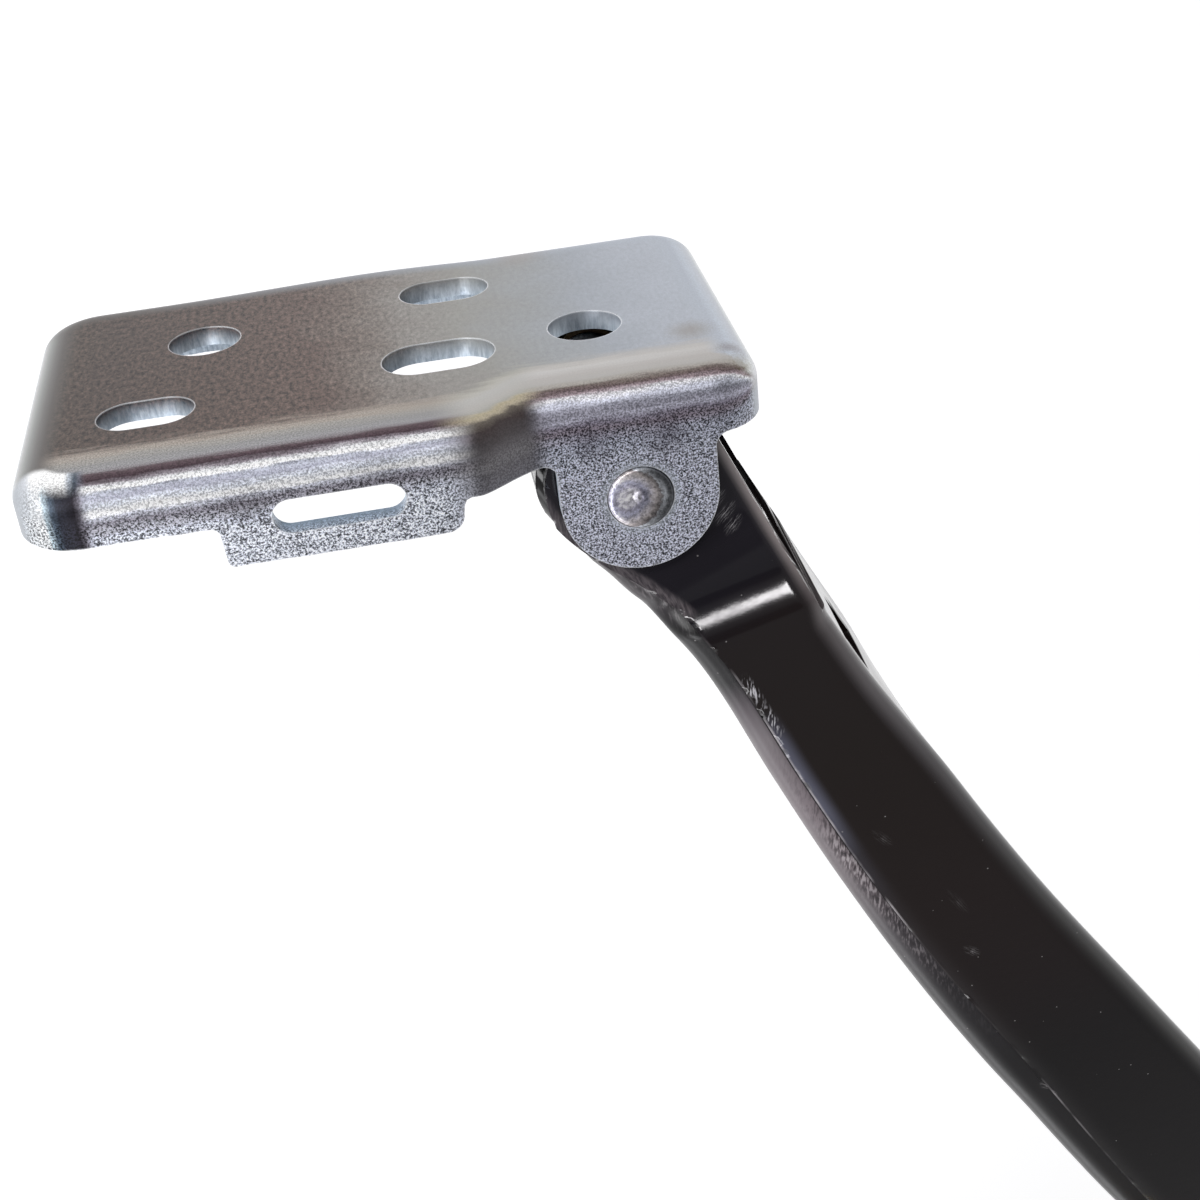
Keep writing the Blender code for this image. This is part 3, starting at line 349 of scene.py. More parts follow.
STEP_FOLD = [(-10, "#9d9b95"), (-7, "#b0aca2"), (-4, "#b4b3b0"), (-1, "#b0ada9"), (0.5, "#a9a7a1"), (1.3, "#b5ab93"),
             (2.1, "#b5ab97"), (2.8, "#6e675f"), (4.0, "#4c4343"), (6.0, "#5b5658"), (8.0, "#716e71"), (9.2, "#7b797c"),
             (11, "#706e73"), (15, "#78787f")]
RIGHT_FOLD = [(-10, "#adb3ba"), (-7, "#b6b1ab"), (-4.5, "#c2c0be"), (-2, "#b3afac"), (0, "#afaca9"), (0.9, "#a8a39d"),
              (1.6, "#756a65"), (2.3, "#6b5c5d"), (3.0, "#a99aa0"), (3.5, "#e4e4e9"), (4.1, "#b9bcc8"), (5.0, "#8c8d98"),
              (5.8, "#9e9daa"), (6.6, "#bcbbca"), (7.4, "#878290"), (8.3, "#79717b"), (9.4, "#8e8c98"),
              (10.8, "#9c9fac"), (13, "#a5a8b4"), (18, "#afb1be"), (25, "#afb1be")]
left_fold = add(tree, "ShaderNodeValToRGB", inputs={"Fac": wavy.outputs[0]},
                stops=[(turned_place(u), tone) for u, tone in LEFT_FOLD])
step_fold = add(tree, "ShaderNodeValToRGB", inputs={"Fac": wavy.outputs[0]},
                stops=[(turned_place(u), tone) for u, tone in STEP_FOLD])
right_fold = add(tree, "ShaderNodeValToRGB", inputs={"Fac": wavy.outputs[0]},
                 stops=[(turned_place(u), tone) for u, tone in RIGHT_FOLD])
into_step = add(tree, "ShaderNodeMapRange", {"interpolation_type": "SMOOTHSTEP"},
                {"Value": along, "From Min": 13.5, "From Max": 20.5})
past_step = add(tree, "ShaderNodeMapRange", {"interpolation_type": "SMOOTHSTEP"},
                {"Value": along, "From Min": 26.5, "From Max": 30.5})
fold_a = add(tree, "ShaderNodeMix", {"data_type": "RGBA"},
             {"Factor": into_step.outputs[0], 6: left_fold.outputs[0], 7: step_fold.outputs[0]})
fold_b = add(tree, "ShaderNodeMix", {"data_type": "RGBA"},
             {"Factor": past_step.outputs[0], 6: fold_a.outputs[2], 7: right_fold.outputs[0]})
fold_start = add(tree, "ShaderNodeMapRange", {"interpolation_type": "SMOOTHSTEP"},
                 {"Value": wavy.outputs[0], "From Min": turned_place(-9.5), "From Max": turned_place(-5.0)})
front_tone = add(tree, "ShaderNodeMix", {"data_type": "RGBA"},
                 {"Factor": fold_start.outputs[0], 6: mottled.outputs["Vector"], 7: fold_b.outputs[2]})

# the two ends and the back: the same fold seen from its side, bluish and smoother, with painted reflections and a
# painted highlight round the bend
side_scale = add(tree, "ShaderNodeMapRange", inputs={"Value": side_place, "From Min": -3.0, "From Max": 13.0})
left_end = add(tree, "ShaderNodeValToRGB", inputs={"Fac": side_scale.outputs[0]}, stops=[
    (0.0, "#55514d"), (0.18, "#5f5b59"), (0.25, "#737170"), (0.32, "#8e908e"), (0.40, "#b4b5b5"), (0.47, "#d5d8da"),
    (0.56, "#dfe2e6"), (0.64, "#b9bdc3"), (0.72, "#9fa3a9"), (0.85, "#a9aeb8"), (1.0, "#b8bbc2")])
right_end = add(tree, "ShaderNodeValToRGB", inputs={"Fac": side_scale.outputs[0]}, stops=[
    (0.0, "#afb6bf"), (0.2, "#b0b6c0"), (0.27, "#bdc4ce"), (0.38, "#c6cad1"), (0.46, "#e5e8e9"), (0.56, "#e8e9ec"),
    (0.63, "#c8c9cc"), (0.72, "#bfc4cb"), (1.0, "#b9bec7")])
which_end = add(tree, "ShaderNodeMapRange", inputs={"Value": along, "From Min": -30.0, "From Max": 50.0})
end_tone = add(tree, "ShaderNodeMix", {"data_type": "RGBA"},
               {"Factor": which_end.outputs[0], 6: left_end.outputs[0], 7: right_end.outputs[0]})
off_front = add(tree, "ShaderNodeMapRange", {"interpolation_type": "SMOOTHSTEP"},
                {"Value": side_turn, "From Min": 0.72, "From Max": 0.45})
on_fold = add(tree, "ShaderNodeMapRange", {"interpolation_type": "SMOOTHSTEP"},
              {"Value": side_place, "From Min": -2.9, "From Max": 0.6})
end_share = add(tree, "ShaderNodeMath", {"operation": "MULTIPLY"}, {0: off_front.outputs[0], 1: on_fold.outputs[0]})
sided_tone = add(tree, "ShaderNodeMix", {"data_type": "RGBA"},
                 {"Factor": end_share.outputs[0], 6: front_tone.outputs[2], 7: end_tone.outputs[2]})

# the drawn front left corner: a painted highlight on top, a pale end and a dark band of painted reflection where the
# flange begins
corner_x = add(tree, "ShaderNodeMath", {"operation": "ADD"}, {0: along, 1: streak_shift.outputs[0]})
corner_scale = add(tree, "ShaderNodeMapRange", inputs={"Value": corner_x.outputs[0], "From Min": -44.0, "From Max": -32.0})
corner_top = add(tree, "ShaderNodeValToRGB", inputs={"Fac": corner_scale.outputs[0]}, stops=[
    (0.08, "#a9acb3"), (0.22, "#d3d6dc"), (0.30, "#ffffff"), (0.68, "#ffffff"), (0.74, "#b2b9c3"), (0.80, "#4d5763"),
    (0.87, "#6d7280"), (0.95, "#5b535c")])
corner_low = add(tree, "ShaderNodeValToRGB", inputs={"Fac": corner_scale.outputs[0]}, stops=[
    (0.08, "#b5bac0"), (0.20, "#c9cdd3"), (0.38, "#eef1f5"), (0.43, "#a9b8c2"), (0.50, "#46515e"), (0.58, "#23252f"),
    (0.76, "#1d1a22"), (0.84, "#625f68"), (0.95, "#9a9ca8")])
corner_drop = add(tree, "ShaderNodeMapRange", {"interpolation_type": "SMOOTHSTEP"},
                  {"Value": side_place, "From Min": 1.5, "From Max": 4.2})
corner_painted_light = add(tree, "ShaderNodeMix", {"data_type": "RGBA"},
                  {"Factor": corner_drop.outputs[0], 6: corner_top.outputs[0], 7: corner_low.outputs[0]})
in_corner = add(tree, "ShaderNodeMapRange", {"interpolation_type": "SMOOTHSTEP"},
                {"Value": corner_x.outputs[0], "From Min": -32.6, "From Max": -34.4})
corner_front = add(tree, "ShaderNodeMapRange", {"interpolation_type": "SMOOTHSTEP"},
                   {"Value": out, "From Min": 29.5, "From Max": 31.5})
corner_bend = add(tree, "ShaderNodeMapRange", {"interpolation_type": "SMOOTHSTEP"},
                  {"Value": side_place, "From Min": -1.3, "From Max": -0.2})
corner_a = add(tree, "ShaderNodeMath", {"operation": "MULTIPLY"}, {0: in_corner.outputs[0], 1: corner_front.outputs[0]})
corner_share = add(tree, "ShaderNodeMath", {"operation": "MULTIPLY"}, {0: corner_a.outputs[0], 1: corner_bend.outputs[0]})
sheet_tone = add(tree, "ShaderNodeMix", {"data_type": "RGBA"},
                 {"Factor": corner_share.outputs[0], 6: sided_tone.outputs[2], 7: corner_painted_light.outputs[2]})

# grain: 0.35 mm crystals drawn a little coarser than life, strong on the front fold, flange, tab and ear,
# weak on the flat right half, and nearly gone on the two ends
grain = add(tree, "ShaderNodeTexNoise", inputs={"Vector": place, "Scale": 3.7, "Detail": 2.0, "Roughness": 0.7})
grain_lift = add(tree, "ShaderNodeMapRange", inputs={"Value": grain.outputs["Fac"], "From Min": 0.41, "From Max": 0.60,
                                                     "To Min": 0.04, "To Max": 2.1})
flat_grain = add(tree, "ShaderNodeMapRange", {"interpolation_type": "SMOOTHSTEP"},
                 {"Value": along, "From Min": -8.0, "From Max": 24.0, "To Min": 0.36, "To Max": 0.06})
fold_grain = add(tree, "ShaderNodeMapRange", {"interpolation_type": "SMOOTHSTEP"},
                 {"Value": wavy.outputs[0], "From Min": turned_place(0.2), "From Max": turned_place(2.4)})
step_calm = add(tree, "ShaderNodeMath", {"operation": "SUBTRACT"}, {0: into_step.outputs[0], 1: past_step.outputs[0]})
step_strength = add(tree, "ShaderNodeMath", {"operation": "MULTIPLY_ADD"},
                    {0: step_calm.outputs[0], 1: -0.6, 2: 0.95})
band_calm = add(tree, "ShaderNodeMapRange", {"interpolation_type": "SMOOTHSTEP"},
                {"Value": wavy.outputs[0], "From Min": turned_place(6.6), "From Max": turned_place(9.0), "To Min": 0.42,
                 "To Max": 1.0})
fold_strength = add(tree, "ShaderNodeMath", {"operation": "MULTIPLY"},
                    {0: step_strength.outputs[0], 1: band_calm.outputs[0]})
front_grain = add(tree, "ShaderNodeMix", {"data_type": "FLOAT"},
                  {"Factor": fold_grain.outputs[0], 2: flat_grain.outputs[0], 3: fold_strength.outputs[0]})
grain_share = add(tree, "ShaderNodeMix", {"data_type": "FLOAT"},
                  {"Factor": end_share.outputs[0], 2: front_grain.outputs[0], 3: 0.10})
grain_mix = add(tree, "ShaderNodeMix", {"data_type": "FLOAT"},
                {"Factor": grain_share.outputs[0], 2: 1.0, 3: grain_lift.outputs[0]})
grained = add(tree, "ShaderNodeVectorMath", {"operation": "SCALE"},
              {0: sheet_tone.outputs[2], "Scale": grain_mix.outputs[0]})

# stains, rubbed spots and darker patches on the front flange and by the ear: place on the sheet, radius, colour,
# strength
tone = grained.outputs["Vector"]
for centre, radius, colour, strength in (
        ((53.6, 0.0, 16.8), 4.2, "#8d8378", 0.55), ((57.6, -1.0, 24.6), 2.4, "#6e5c58", 0.6),
        ((33.0, 0.0, -24.0), 5.5, "#a08f80", 0.35), ((46.5, -8.5, 32.5), 4.5, "#3b2f3d", 0.45),
        ((35.5, -7.8, 32.5), 4.0, "#3c3240", 0.4), ((58.0, -2.5, 27.5), 2.6, "#8f8456", 0.5),
        ((-12.5, -6.8, 38.0), 5.0, "#3a3439", 0.35), ((6.0, -5.8, 38.0), 5.5, "#3a3439", 0.25)):
    away = add(tree, "ShaderNodeVectorMath", {"operation": "DISTANCE"}, {0: place, 1: centre})
    ragged = add(tree, "ShaderNodeMath", {"operation": "MULTIPLY_ADD"},
                 {0: grain.outputs["Fac"], 1: radius * 0.9, 2: away.outputs["Value"]})
    spot = add(tree, "ShaderNodeMapRange", {"interpolation_type": "SMOOTHSTEP"},
               {"Value": ragged.outputs[0], "From Min": radius * 1.6, "From Max": radius * 0.5, "To Max": strength})
    tone = add(tree, "ShaderNodeMix", {"data_type": "RGBA"},
               {"Factor": spot.outputs[0], 6: tone, 7: linear(colour)}).outputs[2]

# painted highlight: a pale ring round the pin's head, where the edge of the ear's hole catches the light
pin_away = add(tree, "ShaderNodeVectorMath", {"operation": "DISTANCE"}, {0: place, 1: (HINGE_X, HINGE_Y, 32.5)})
pin_ring_highlight = add(tree, "ShaderNodeMapRange", {"interpolation_type": "SMOOTHSTEP"},
           {"Value": pin_away.outputs["Value"], "From Min": 6.6, "From Max": 5.0, "To Max": 0.45})
tone = add(tree, "ShaderNodeMix", {"data_type": "RGBA"},
           {"Factor": pin_ring_highlight.outputs[0], 6: tone, 7: linear("#b4bcc4")}).outputs[2]

# the sheared walls of the holes and the inner side are plain plated steel, bluish grey
inner_side = add(tree, "ShaderNodeAttribute", {"attribute_name": "sheared_wall"}).outputs["Fac"]
shear_vector = add(tree, "ShaderNodeVectorMath", {"operation": "MULTIPLY"}, {0: place, 1: (1.6, 0.35, 1.6)})
shear_lines = add(tree, "ShaderNodeTexNoise", inputs={"Vector": shear_vector.outputs["Vector"], "Scale": 1.0, "Detail": 3.0,
                                                      "Roughness": 0.7})
shear_share = add(tree, "ShaderNodeMapRange", inputs={"Value": shear_lines.outputs["Fac"], "From Min": 0.38, "From Max": 0.62})
wall_tone = add(tree, "ShaderNodeMix", {"data_type": "RGBA"},
                {"Factor": shear_share.outputs[0], 6: linear("#a3b1bf"), 7: linear("#d3dee8")})
tone = add(tree, "ShaderNodeMix", {"data_type": "RGBA"},
           {"Factor": inner_side, 6: tone, 7: wall_tone.outputs[2]}).outputs[2]
# painted highlight along the sheared outline: edges facing up and to the front are drawn near white
true_side = add(tree, "ShaderNodeNewGeometry")
rounded = add(tree, "ShaderNodeBevel", {"samples": 6}, {"Radius": 0.00045})
edge_turn = add(tree, "ShaderNodeVectorMath", {"operation": "DOT_PRODUCT"},
                {0: rounded.outputs["Normal"], 1: true_side.outputs["True Normal"]})
rim_mark = add(tree, "ShaderNodeMapRange", inputs={"Value": edge_turn.outputs["Value"], "From Min": 0.97,
                                                   "From Max": 0.86}).outputs[0]
rim_top = add(tree, "ShaderNodeMapRange", {"interpolation_type": "SMOOTHSTEP"},
              {"Value": up, "From Min": -0.6, "From Max": -0.2})
rim_front = add(tree, "ShaderNodeMapRange", {"interpolation_type": "SMOOTHSTEP"},
                {"Value": behind.outputs[0], "From Min": 0.6, "From Max": 0.2})
rim_side = add(tree, "ShaderNodeMath", {"operation": "MAXIMUM"}, {0: rim_top.outputs[0], 1: rim_front.outputs[0]})
rim_bits = add(tree, "ShaderNodeMapRange", inputs={"Value": cloud.outputs["Fac"], "From Min": 0.35, "From Max": 0.6,
                                                   "To Min": 0.45, "To Max": 0.95})
rim_a = add(tree, "ShaderNodeMath", {"operation": "MULTIPLY"}, {0: rim_mark, 1: rim_side.outputs[0]})
rim_highlight_share = add(tree, "ShaderNodeMath", {"operation": "MULTIPLY"}, {0: rim_a.outputs[0], 1: rim_bits.outputs[0]})
tone = add(tree, "ShaderNodeMix", {"data_type": "RGBA"},
           {"Factor": rim_highlight_share.outputs[0], 6: tone, 7: linear("#f4f6f9")}).outputs[2]
rough_grain = add(tree, "ShaderNodeMapRange", inputs={"Value": grain.outputs["Fac"], "From Min": 0.3, "From Max": 0.7,
                                                      "To Min": 0.34, "To Max": 0.5})
grain_bump = add(tree, "ShaderNodeBump", inputs={"Strength": 0.35, "Distance": 0.0001,
                                                 "Height": grain.outputs["Fac"]})
surface = add(tree, "ShaderNodeBsdfPrincipled", inputs={
    "Base Color": tone, "Metallic": 0.72, "Roughness": rough_grain.outputs[0], "Normal": grain_bump.outputs["Normal"]})
add(tree, "ShaderNodeOutputMaterial", inputs={"Surface": surface.outputs[0]})

bracket = made_piece("pressed_bracket", skin(tray_rings), bracket_cuts, 0.32, zinc_bracket, "door_bracket",
                     ["bracket_plate"])
outline_points = [(x, z) for x, _, z in tray_ring(0.0, 0.0)]
outline_count = len(outline_points)
mesh = bracket.data
fold_values = mesh.attributes.new("fold_place", "FLOAT", "POINT")
front_values = mesh.attributes.new("facing_front", "FLOAT", "POINT")
wall_values = mesh.attributes.new("sheared_wall", "FLOAT", "POINT")
for vert in mesh.vertices:
    x, y, z = (1000.0 * c for c in vert.co)
    best = None
    for k in range(outline_count):
        ax, az = outline_points[k]
        bx, bz = outline_points[(k + 1) % outline_count]
        dx, dz = bx - ax, bz - az
        t = min(max(((x - ax) * dx + (z - az) * dz) / (dx * dx + dz * dz), 0.0), 1.0)
        px, pz = x - ax - t * dx, z - az - t * dz
        gap = px * px + pz * pz
        if best is None or gap < best[0]:
            best = (gap, dx, dz)
    inset = math.sqrt(best[0])
    length = math.hypot(best[1], best[2])
    if y < -FOLD_R:
        u = 0.5 * math.pi * FOLD_R + (-FOLD_R - y)
    elif inset > FOLD_R:
        u = FOLD_R - inset
    else:
        u = FOLD_R * math.atan2(FOLD_R - inset, y + FOLD_R)
    fold_values.data[vert.index].value = max(-3.0, u)
    front_values.data[vert.index].value = best[1] / length
    deep = min(inset, -y)
    if y > -FOLD_R and inset < FOLD_R:
        deep = FOLD_R - math.hypot(FOLD_R - inset, y + FOLD_R)
    wall_values.data[vert.index].value = ease((deep - 0.15) / 0.3)

# ---- Hinge pin ------------------------------------------------------------
# Steel pin, its ends spun over in the ears' holes: a shallow dish with a small raised swirl in the middle,
# dull and brownish where the plating was worked off.

PIN_TOP = TRAY_FRONT - STEP_FRONT + 0.45
PIN_LOW = TRAY_BACK + STEP_BACK - 0.45


def turned(profile, centre, axis="z", steps=72):
    """Lathe work: a (radius, height) outline spun once round the axis."""
    bm = bmesh.new()
    verts = [bm.verts.new((max(r, 0.0), 0.0, h)) for r, h in profile]
    edges = [bm.edges.new(pair) for pair in zip(verts, verts[1:])]
    if profile[0][0] > 0.0 or profile[-1][0] > 0.0:
        edges.append(bm.edges.new((verts[-1], verts[0])))
    bmesh.ops.spin(bm, geom=verts + edges, cent=(0, 0, 0), axis=(0, 0, 1), angle=2 * math.pi, steps=steps,
                   use_merge=True)
    bmesh.ops.remove_doubles(bm, verts=bm.verts, dist=1e-4)
    lay = Matrix.Rotation(-math.pi / 2, 4, "X") if axis == "y" else Matrix.Identity(4)
    bmesh.ops.transform(bm, matrix=Matrix.Translation(centre) @ lay, verts=bm.verts)
    return bm


spun_steel = bpy.data.materials.new("spun_pin_steel_worn_plating")
spun_steel.use_nodes = True
tree = spun_steel.node_tree
tree.nodes.clear()
coord = add(tree, "ShaderNodeTexCoord")
mm = add(tree, "ShaderNodeVectorMath", {"operation": "SCALE"}, {0: coord.outputs["Object"], "Scale": 1000.0})
pin_away = add(tree, "ShaderNodeVectorMath", {"operation": "DISTANCE"},
               {0: mm.outputs["Vector"], 1: (HINGE_X - 1.7, HINGE_Y + 0.1, PIN_TOP - 0.4)})
smear = add(tree, "ShaderNodeTexNoise", inputs={"Vector": mm.outputs["Vector"], "Scale": 0.9, "Detail": 4.0,
                                                "Roughness": 0.65, "Distortion": 1.2})
smear_shift = add(tree, "ShaderNodeMath", {"operation": "MULTIPLY_ADD"},
                  {0: smear.outputs["Fac"], 1: 1.6, 2: -0.8})
ring_place = add(tree, "ShaderNodeMath", {"operation": "ADD"},
                 {0: pin_away.outputs["Value"], 1: smear_shift.outputs[0]})
ring_scale = add(tree, "ShaderNodeMapRange", inputs={"Value": ring_place.outputs[0], "From Min": 0.0, "From Max": 4.8})
ring_tone = add(tree, "ShaderNodeValToRGB", inputs={"Fac": ring_scale.outputs[0]}, stops=[
    (0.0, "#fbf9fa"), (0.08, "#d5d3d6"), (0.16, "#8f8d93"), (0.30, "#a5a3aa"), (0.42, "#7b7986"), (0.55, "#8c8c9b"),
    (0.70, "#9b979b"), (0.85, "#8d8786"), (0.96, "#6f6a6b"), (1.0, "#a3a6ab")])
pits = add(tree, "ShaderNodeTexNoise", inputs={"Vector": mm.outputs["Vector"], "Scale": 1.9, "Detail": 3.0,
                                               "Roughness": 0.7})
pit_share = add(tree, "ShaderNodeMapRange", inputs={"Value": pits.outputs["Fac"], "From Min": 0.36, "From Max": 0.64,
                                                    "To Min": 0.55, "To Max": 1.35})
pin_axes = add(tree, "ShaderNodeSeparateXYZ", inputs={0: mm.outputs["Vector"]})
# painted light: the left side of the head drawn up to about ten times lighter than the right
pin_painted_side_light = add(tree, "ShaderNodeMapRange", {"interpolation_type": "SMOOTHSTEP"}, {
    "Value": pin_axes.outputs["X"], "From Min": HINGE_X - 3.2, "From Max": HINGE_X + 3.2, "To Min": 2.9, "To Max": 0.30})
pin_light = add(tree, "ShaderNodeMath", {"operation": "MULTIPLY"}, {0: pit_share.outputs[0], 1: pin_painted_side_light.outputs[0]})
pin_tone = add(tree, "ShaderNodeVectorMath", {"operation": "SCALE"},
               {0: ring_tone.outputs[0], "Scale": pin_light.outputs[0]})
pin_rough = add(tree, "ShaderNodeMapRange", inputs={"Value": pits.outputs["Fac"], "To Min": 0.25, "To Max": 0.5})
pin_bump = add(tree, "ShaderNodeBump", inputs={"Strength": 0.5, "Distance": 0.00012, "Height": pits.outputs["Fac"]})
surface = add(tree, "ShaderNodeBsdfPrincipled", inputs={
    "Base Color": pin_tone.outputs["Vector"], "Metallic": 0.8, "Roughness": pin_rough.outputs[0],
    "Normal": pin_bump.outputs["Normal"]})
add(tree, "ShaderNodeOutputMaterial", inputs={"Surface": surface.outputs[0]})

head = [(0.0, -0.62), (0.35, -0.50), (0.62, -0.44), (0.85, -0.66), (1.25, -0.78), (2.0, -0.66), (2.8, -0.40),
        (3.5, -0.10), (4.1, 0.0), (4.5, -0.08), (4.72, -0.26), (4.78, -0.6), (4.78, -1.6), (4.6, -1.9)]
pin_profile = [(r, PIN_LOW - h) for r, h in head] + [(r, PIN_TOP + h) for r, h in head[::-1]]
made_piece("spun_hinge_pin", turned(pin_profile, (HINGE_X, HINGE_Y, 0.0)), [], 0.0, spun_steel, "door_bracket",
           ["hinge_pin"])

# ---- Swing arm ------------------------------------------------------------
# Two channels pressed from 2.5 mm sheet and nested into a box: the outer one has both side walls and the
# upper edge, the inner one shows as a rounded strip under it. Welded, then painted gloss black.

ARM_SHEET = 2.5
ARM_FOLD = 4.2
ARM_TOP = 32.5
FLANGE = 1.2
EAR_FACE = TRAY_FRONT - STEP_FRONT - SHEET - 2 * GAP - FLANGE
FAR_EAR_FACE = TRAY_BACK + STEP_BACK + SHEET + 2 * GAP + FLANGE
ARM_TILT = math.radians(-66.0)
SWIVEL_S = 228.0
SWIVEL_OFF = 26.2
SWIVEL_R = 4.5
BUSH_WALL = 1.0
TIP_R = 12.6
LOWER_EDGE = [(-16, -13.4), (0, -13.4), (10, -10.4), (16, -7.3), (22, -4.8), (31, -3.1), (42, -2.7), (60, -2.9),
              (85, -2.3), (110, -0.4), (142, 3.5), (168, 6.2), (190, 9.0), (240, 17.0)]
UPPER_EDGE = [(-16, 15.0), (0, 15.0), (20, 15.0), (36, 15.4), (57, 16.7), (83, 18.9), (109, 22.2), (145, 28.4),
              (187, 35.5), (240, 42.6)]
STRIP = [(-16, 1.0), (4, 1.2), (12, 2.8), (19, 4.2), (28, 4.2), (42, 4.1), (85, 4.9), (110, 5.8), (128, 6.6),
         (142, 6.9), (158, 6.5), (187, 6.3), (240, 5.6)]
FAR_WALL = [(-16, -23.2), (18, -23.2), (60, -16.2), (100, -7.0), (150, 2.0), (200, 6.6), (240, 8.0)]
REACH = [(-16, 25.2), (20, 22.0), (36, 9.0), (198, 9.0), (218, 19.5), (240, 19.5)]


def curve(s, rows):
    """Smooth curve through (place, value) rows."""
    if s <= rows[0][0]:
        return rows[0][1]
    for k in range(len(rows) - 1):
        (a, va), (b, vb) = rows[k], rows[k + 1]
        if s <= b:
            before = rows[max(k - 1, 0)]
            after = rows[min(k + 2, len(rows) - 1)]
            ma = (vb - before[1]) / (b - before[0])
            mb = (after[1] - va) / (after[0] - a)
            t = (s - a) / (b - a)
            h = b - a
            value = (2 * t ** 3 - 3 * t ** 2 + 1) * va + (t ** 3 - 2 * t ** 2 + t) * h * ma
            return value + (-2 * t ** 3 + 3 * t ** 2) * vb + (t ** 3 - t ** 2) * h * mb
    return rows[-1][1]


def arm_point(s, off, z=0.0):
    """s runs along the arm from the hinge pin, off runs across it."""
    return (HINGE_X + math.cos(ARM_TILT) * s - math.sin(ARM_TILT) * off,
            HINGE_Y + math.sin(ARM_TILT) * s + math.cos(ARM_TILT) * off, z)


def near_face(s, off=0.0):
    """The near wall rises gently under the ear, then steps up along a line that slants across it."""
    step_line = 20.9 + 0.165 * (off + 5.0)
    return EAR_FACE + 1.4 * ease((s - 12.0) / 8.0) + 3.4 * ease((s - step_line) / 7.0)


def far_face(s):
    return max(curve(s, FAR_WALL), FAR_EAR_FACE)


def lean(s):
    return max(2.4, 0.22 * (near_face(s) - far_face(s) - ARM_FOLD) * ease((s - 24.0) / 80.0))


def slant(s, off, on_near_wall):
    """How far the slanting step moves a point of the near wall."""
    return near_face(s, off) - near_face(s) if on_near_wall else 0.0


def quarter(n):
    return [0.5 * math.pi * k / n for k in range(n + 1)]


def outer_ring(s):
    """Cross section of the outer channel. Its near wall rolls over a little at the sheared lower edge."""
    zt, zb = near_face(s), far_face(s)
    lo, up = curve(s, LOWER_EDGE), curve(s, UPPER_EDGE)
    ub = up - lean(s)
    apart = (1.0 - ease((s - 46.0) / 32.0)) * ease((s - 30.0) / 6.0)
    up -= 1.25 * apart
    r, q = ARM_FOLD, ARM_FOLD - ARM_SHEET
    roll = 0.55 * ease((s - 45.0) / 20.0)
    ring = [(lo, zt - roll), (lo + 0.8, zt - 0.62 * roll), (lo + 1.7, zt - 0.28 * roll), (lo + 2.8, zt - 0.06 * roll),
            (lo + 4.0, zt)]
    ring += [(lo + 4.0 + (up - r - lo - 4.0) * k / 9, zt) for k in range(1, 9)]
    ring += [(up - r + r * math.sin(a), zt - r + r * math.cos(a)) for a in quarter(12)]
    ring += [(up + (ub - up) * t * (1.0 - apart), zt - r - t * (zt - zb - 2 * r)) for t in (0.2, 0.4, 0.6)]
    ring += [(ub - r + r * math.cos(a), zb + r - r * math.sin(a)) for a in quarter(12)]
    ring += [(lo, zb), (lo, zb + ARM_SHEET)]
    ring += [(ub - r + q * math.cos(a), zb + r - q * math.sin(a)) for a in quarter(6)[::-1]]
    ring += [(up + (ub - up) * t * (1.0 - apart) - ARM_SHEET, zt - r - t * (zt - zb - 2 * r))
             for t in (0.6, 0.4, 0.2)]
    ring += [(up - r + q * math.sin(a), zt - r + q * math.cos(a)) for a in quarter(6)[::-1]]
    ring += [(lo + 4.0 + (up - r - lo - 4.0) * k / 9, zt - ARM_SHEET) for k in (8, 6, 4, 2, 0)]
    ring += [(lo, zt - ARM_SHEET)]
    return [arm_point(s, off, z + slant(s, off, z > zt - r - 0.01)) for off, z in ring]


def inner_ring(s):
    zt, zb = near_face(s) - ARM_SHEET - GAP, far_face(s) + ARM_SHEET + GAP
    lo = curve(s, LOWER_EDGE) - curve(s, STRIP)
    near = min(curve(s, LOWER_EDGE) + curve(s, REACH), curve(s, UPPER_EDGE) - ARM_FOLD - 0.4)
    far = min(near, curve(s, UPPER_EDGE) - lean(s) - ARM_FOLD + 0.5)
    r, q = ARM_FOLD, ARM_FOLD - ARM_SHEET
    ring = [(near - (near - lo - r) * k / 6, zt) for k in range(6)]
    ring += [(lo + r - r * math.sin(a), zt - r + r * math.cos(a)) for a in quarter(12)]
    ring += [(lo + r - r * math.cos(a), zb + r - r * math.sin(a)) for a in quarter(12)]
    ring += [(far, zb), (far, zb + ARM_SHEET)]
    ring += [(lo + r - q * math.cos(a), zb + r - q * math.sin(a)) for a in quarter(6)[::-1]]
    ring += [(lo + r - q * math.sin(a), zt - r + q * math.cos(a)) for a in quarter(6)[::-1]]
    ring += [(near - (near - lo - r) * k / 6, zt - ARM_SHEET) for k in (5, 4, 3, 2, 1, 0)]
    return [arm_point(s, off, z + slant(s, off, z > zt - r - 0.01)) for off, z in ring]


def arm_flat(points):
    return [arm_point(s, off)[:2] for s, off in points]


def start_cut(radius):
    block = arc(0.0, 0.0, radius, 1.5 * math.pi, 0.5 * math.pi, 48)
    return prism(arm_flat(block + [(0.0, 30.0), (-30.0, 30.0), (-30.0, -30.0), (0.0, -30.0)]), "z", -40.0, 45.0)


def tip_cut(radius):
    turn_back = math.radians(9.0)
    block = arc(SWIVEL_S, SWIVEL_OFF, radius, 0.5 * math.pi + turn_back, -0.5 * math.pi + turn_back, 40)
    block += [(SWIVEL_S + 6.0, SWIVEL_OFF - 30.0), (SWIVEL_S + 30.0, SWIVEL_OFF - 30.0),
              (SWIVEL_S + 30.0, SWIVEL_OFF + 30.0), (SWIVEL_S - 6.0, SWIVEL_OFF + 30.0)]
    return prism(arm_flat(block), "z", -40.0, 45.0)


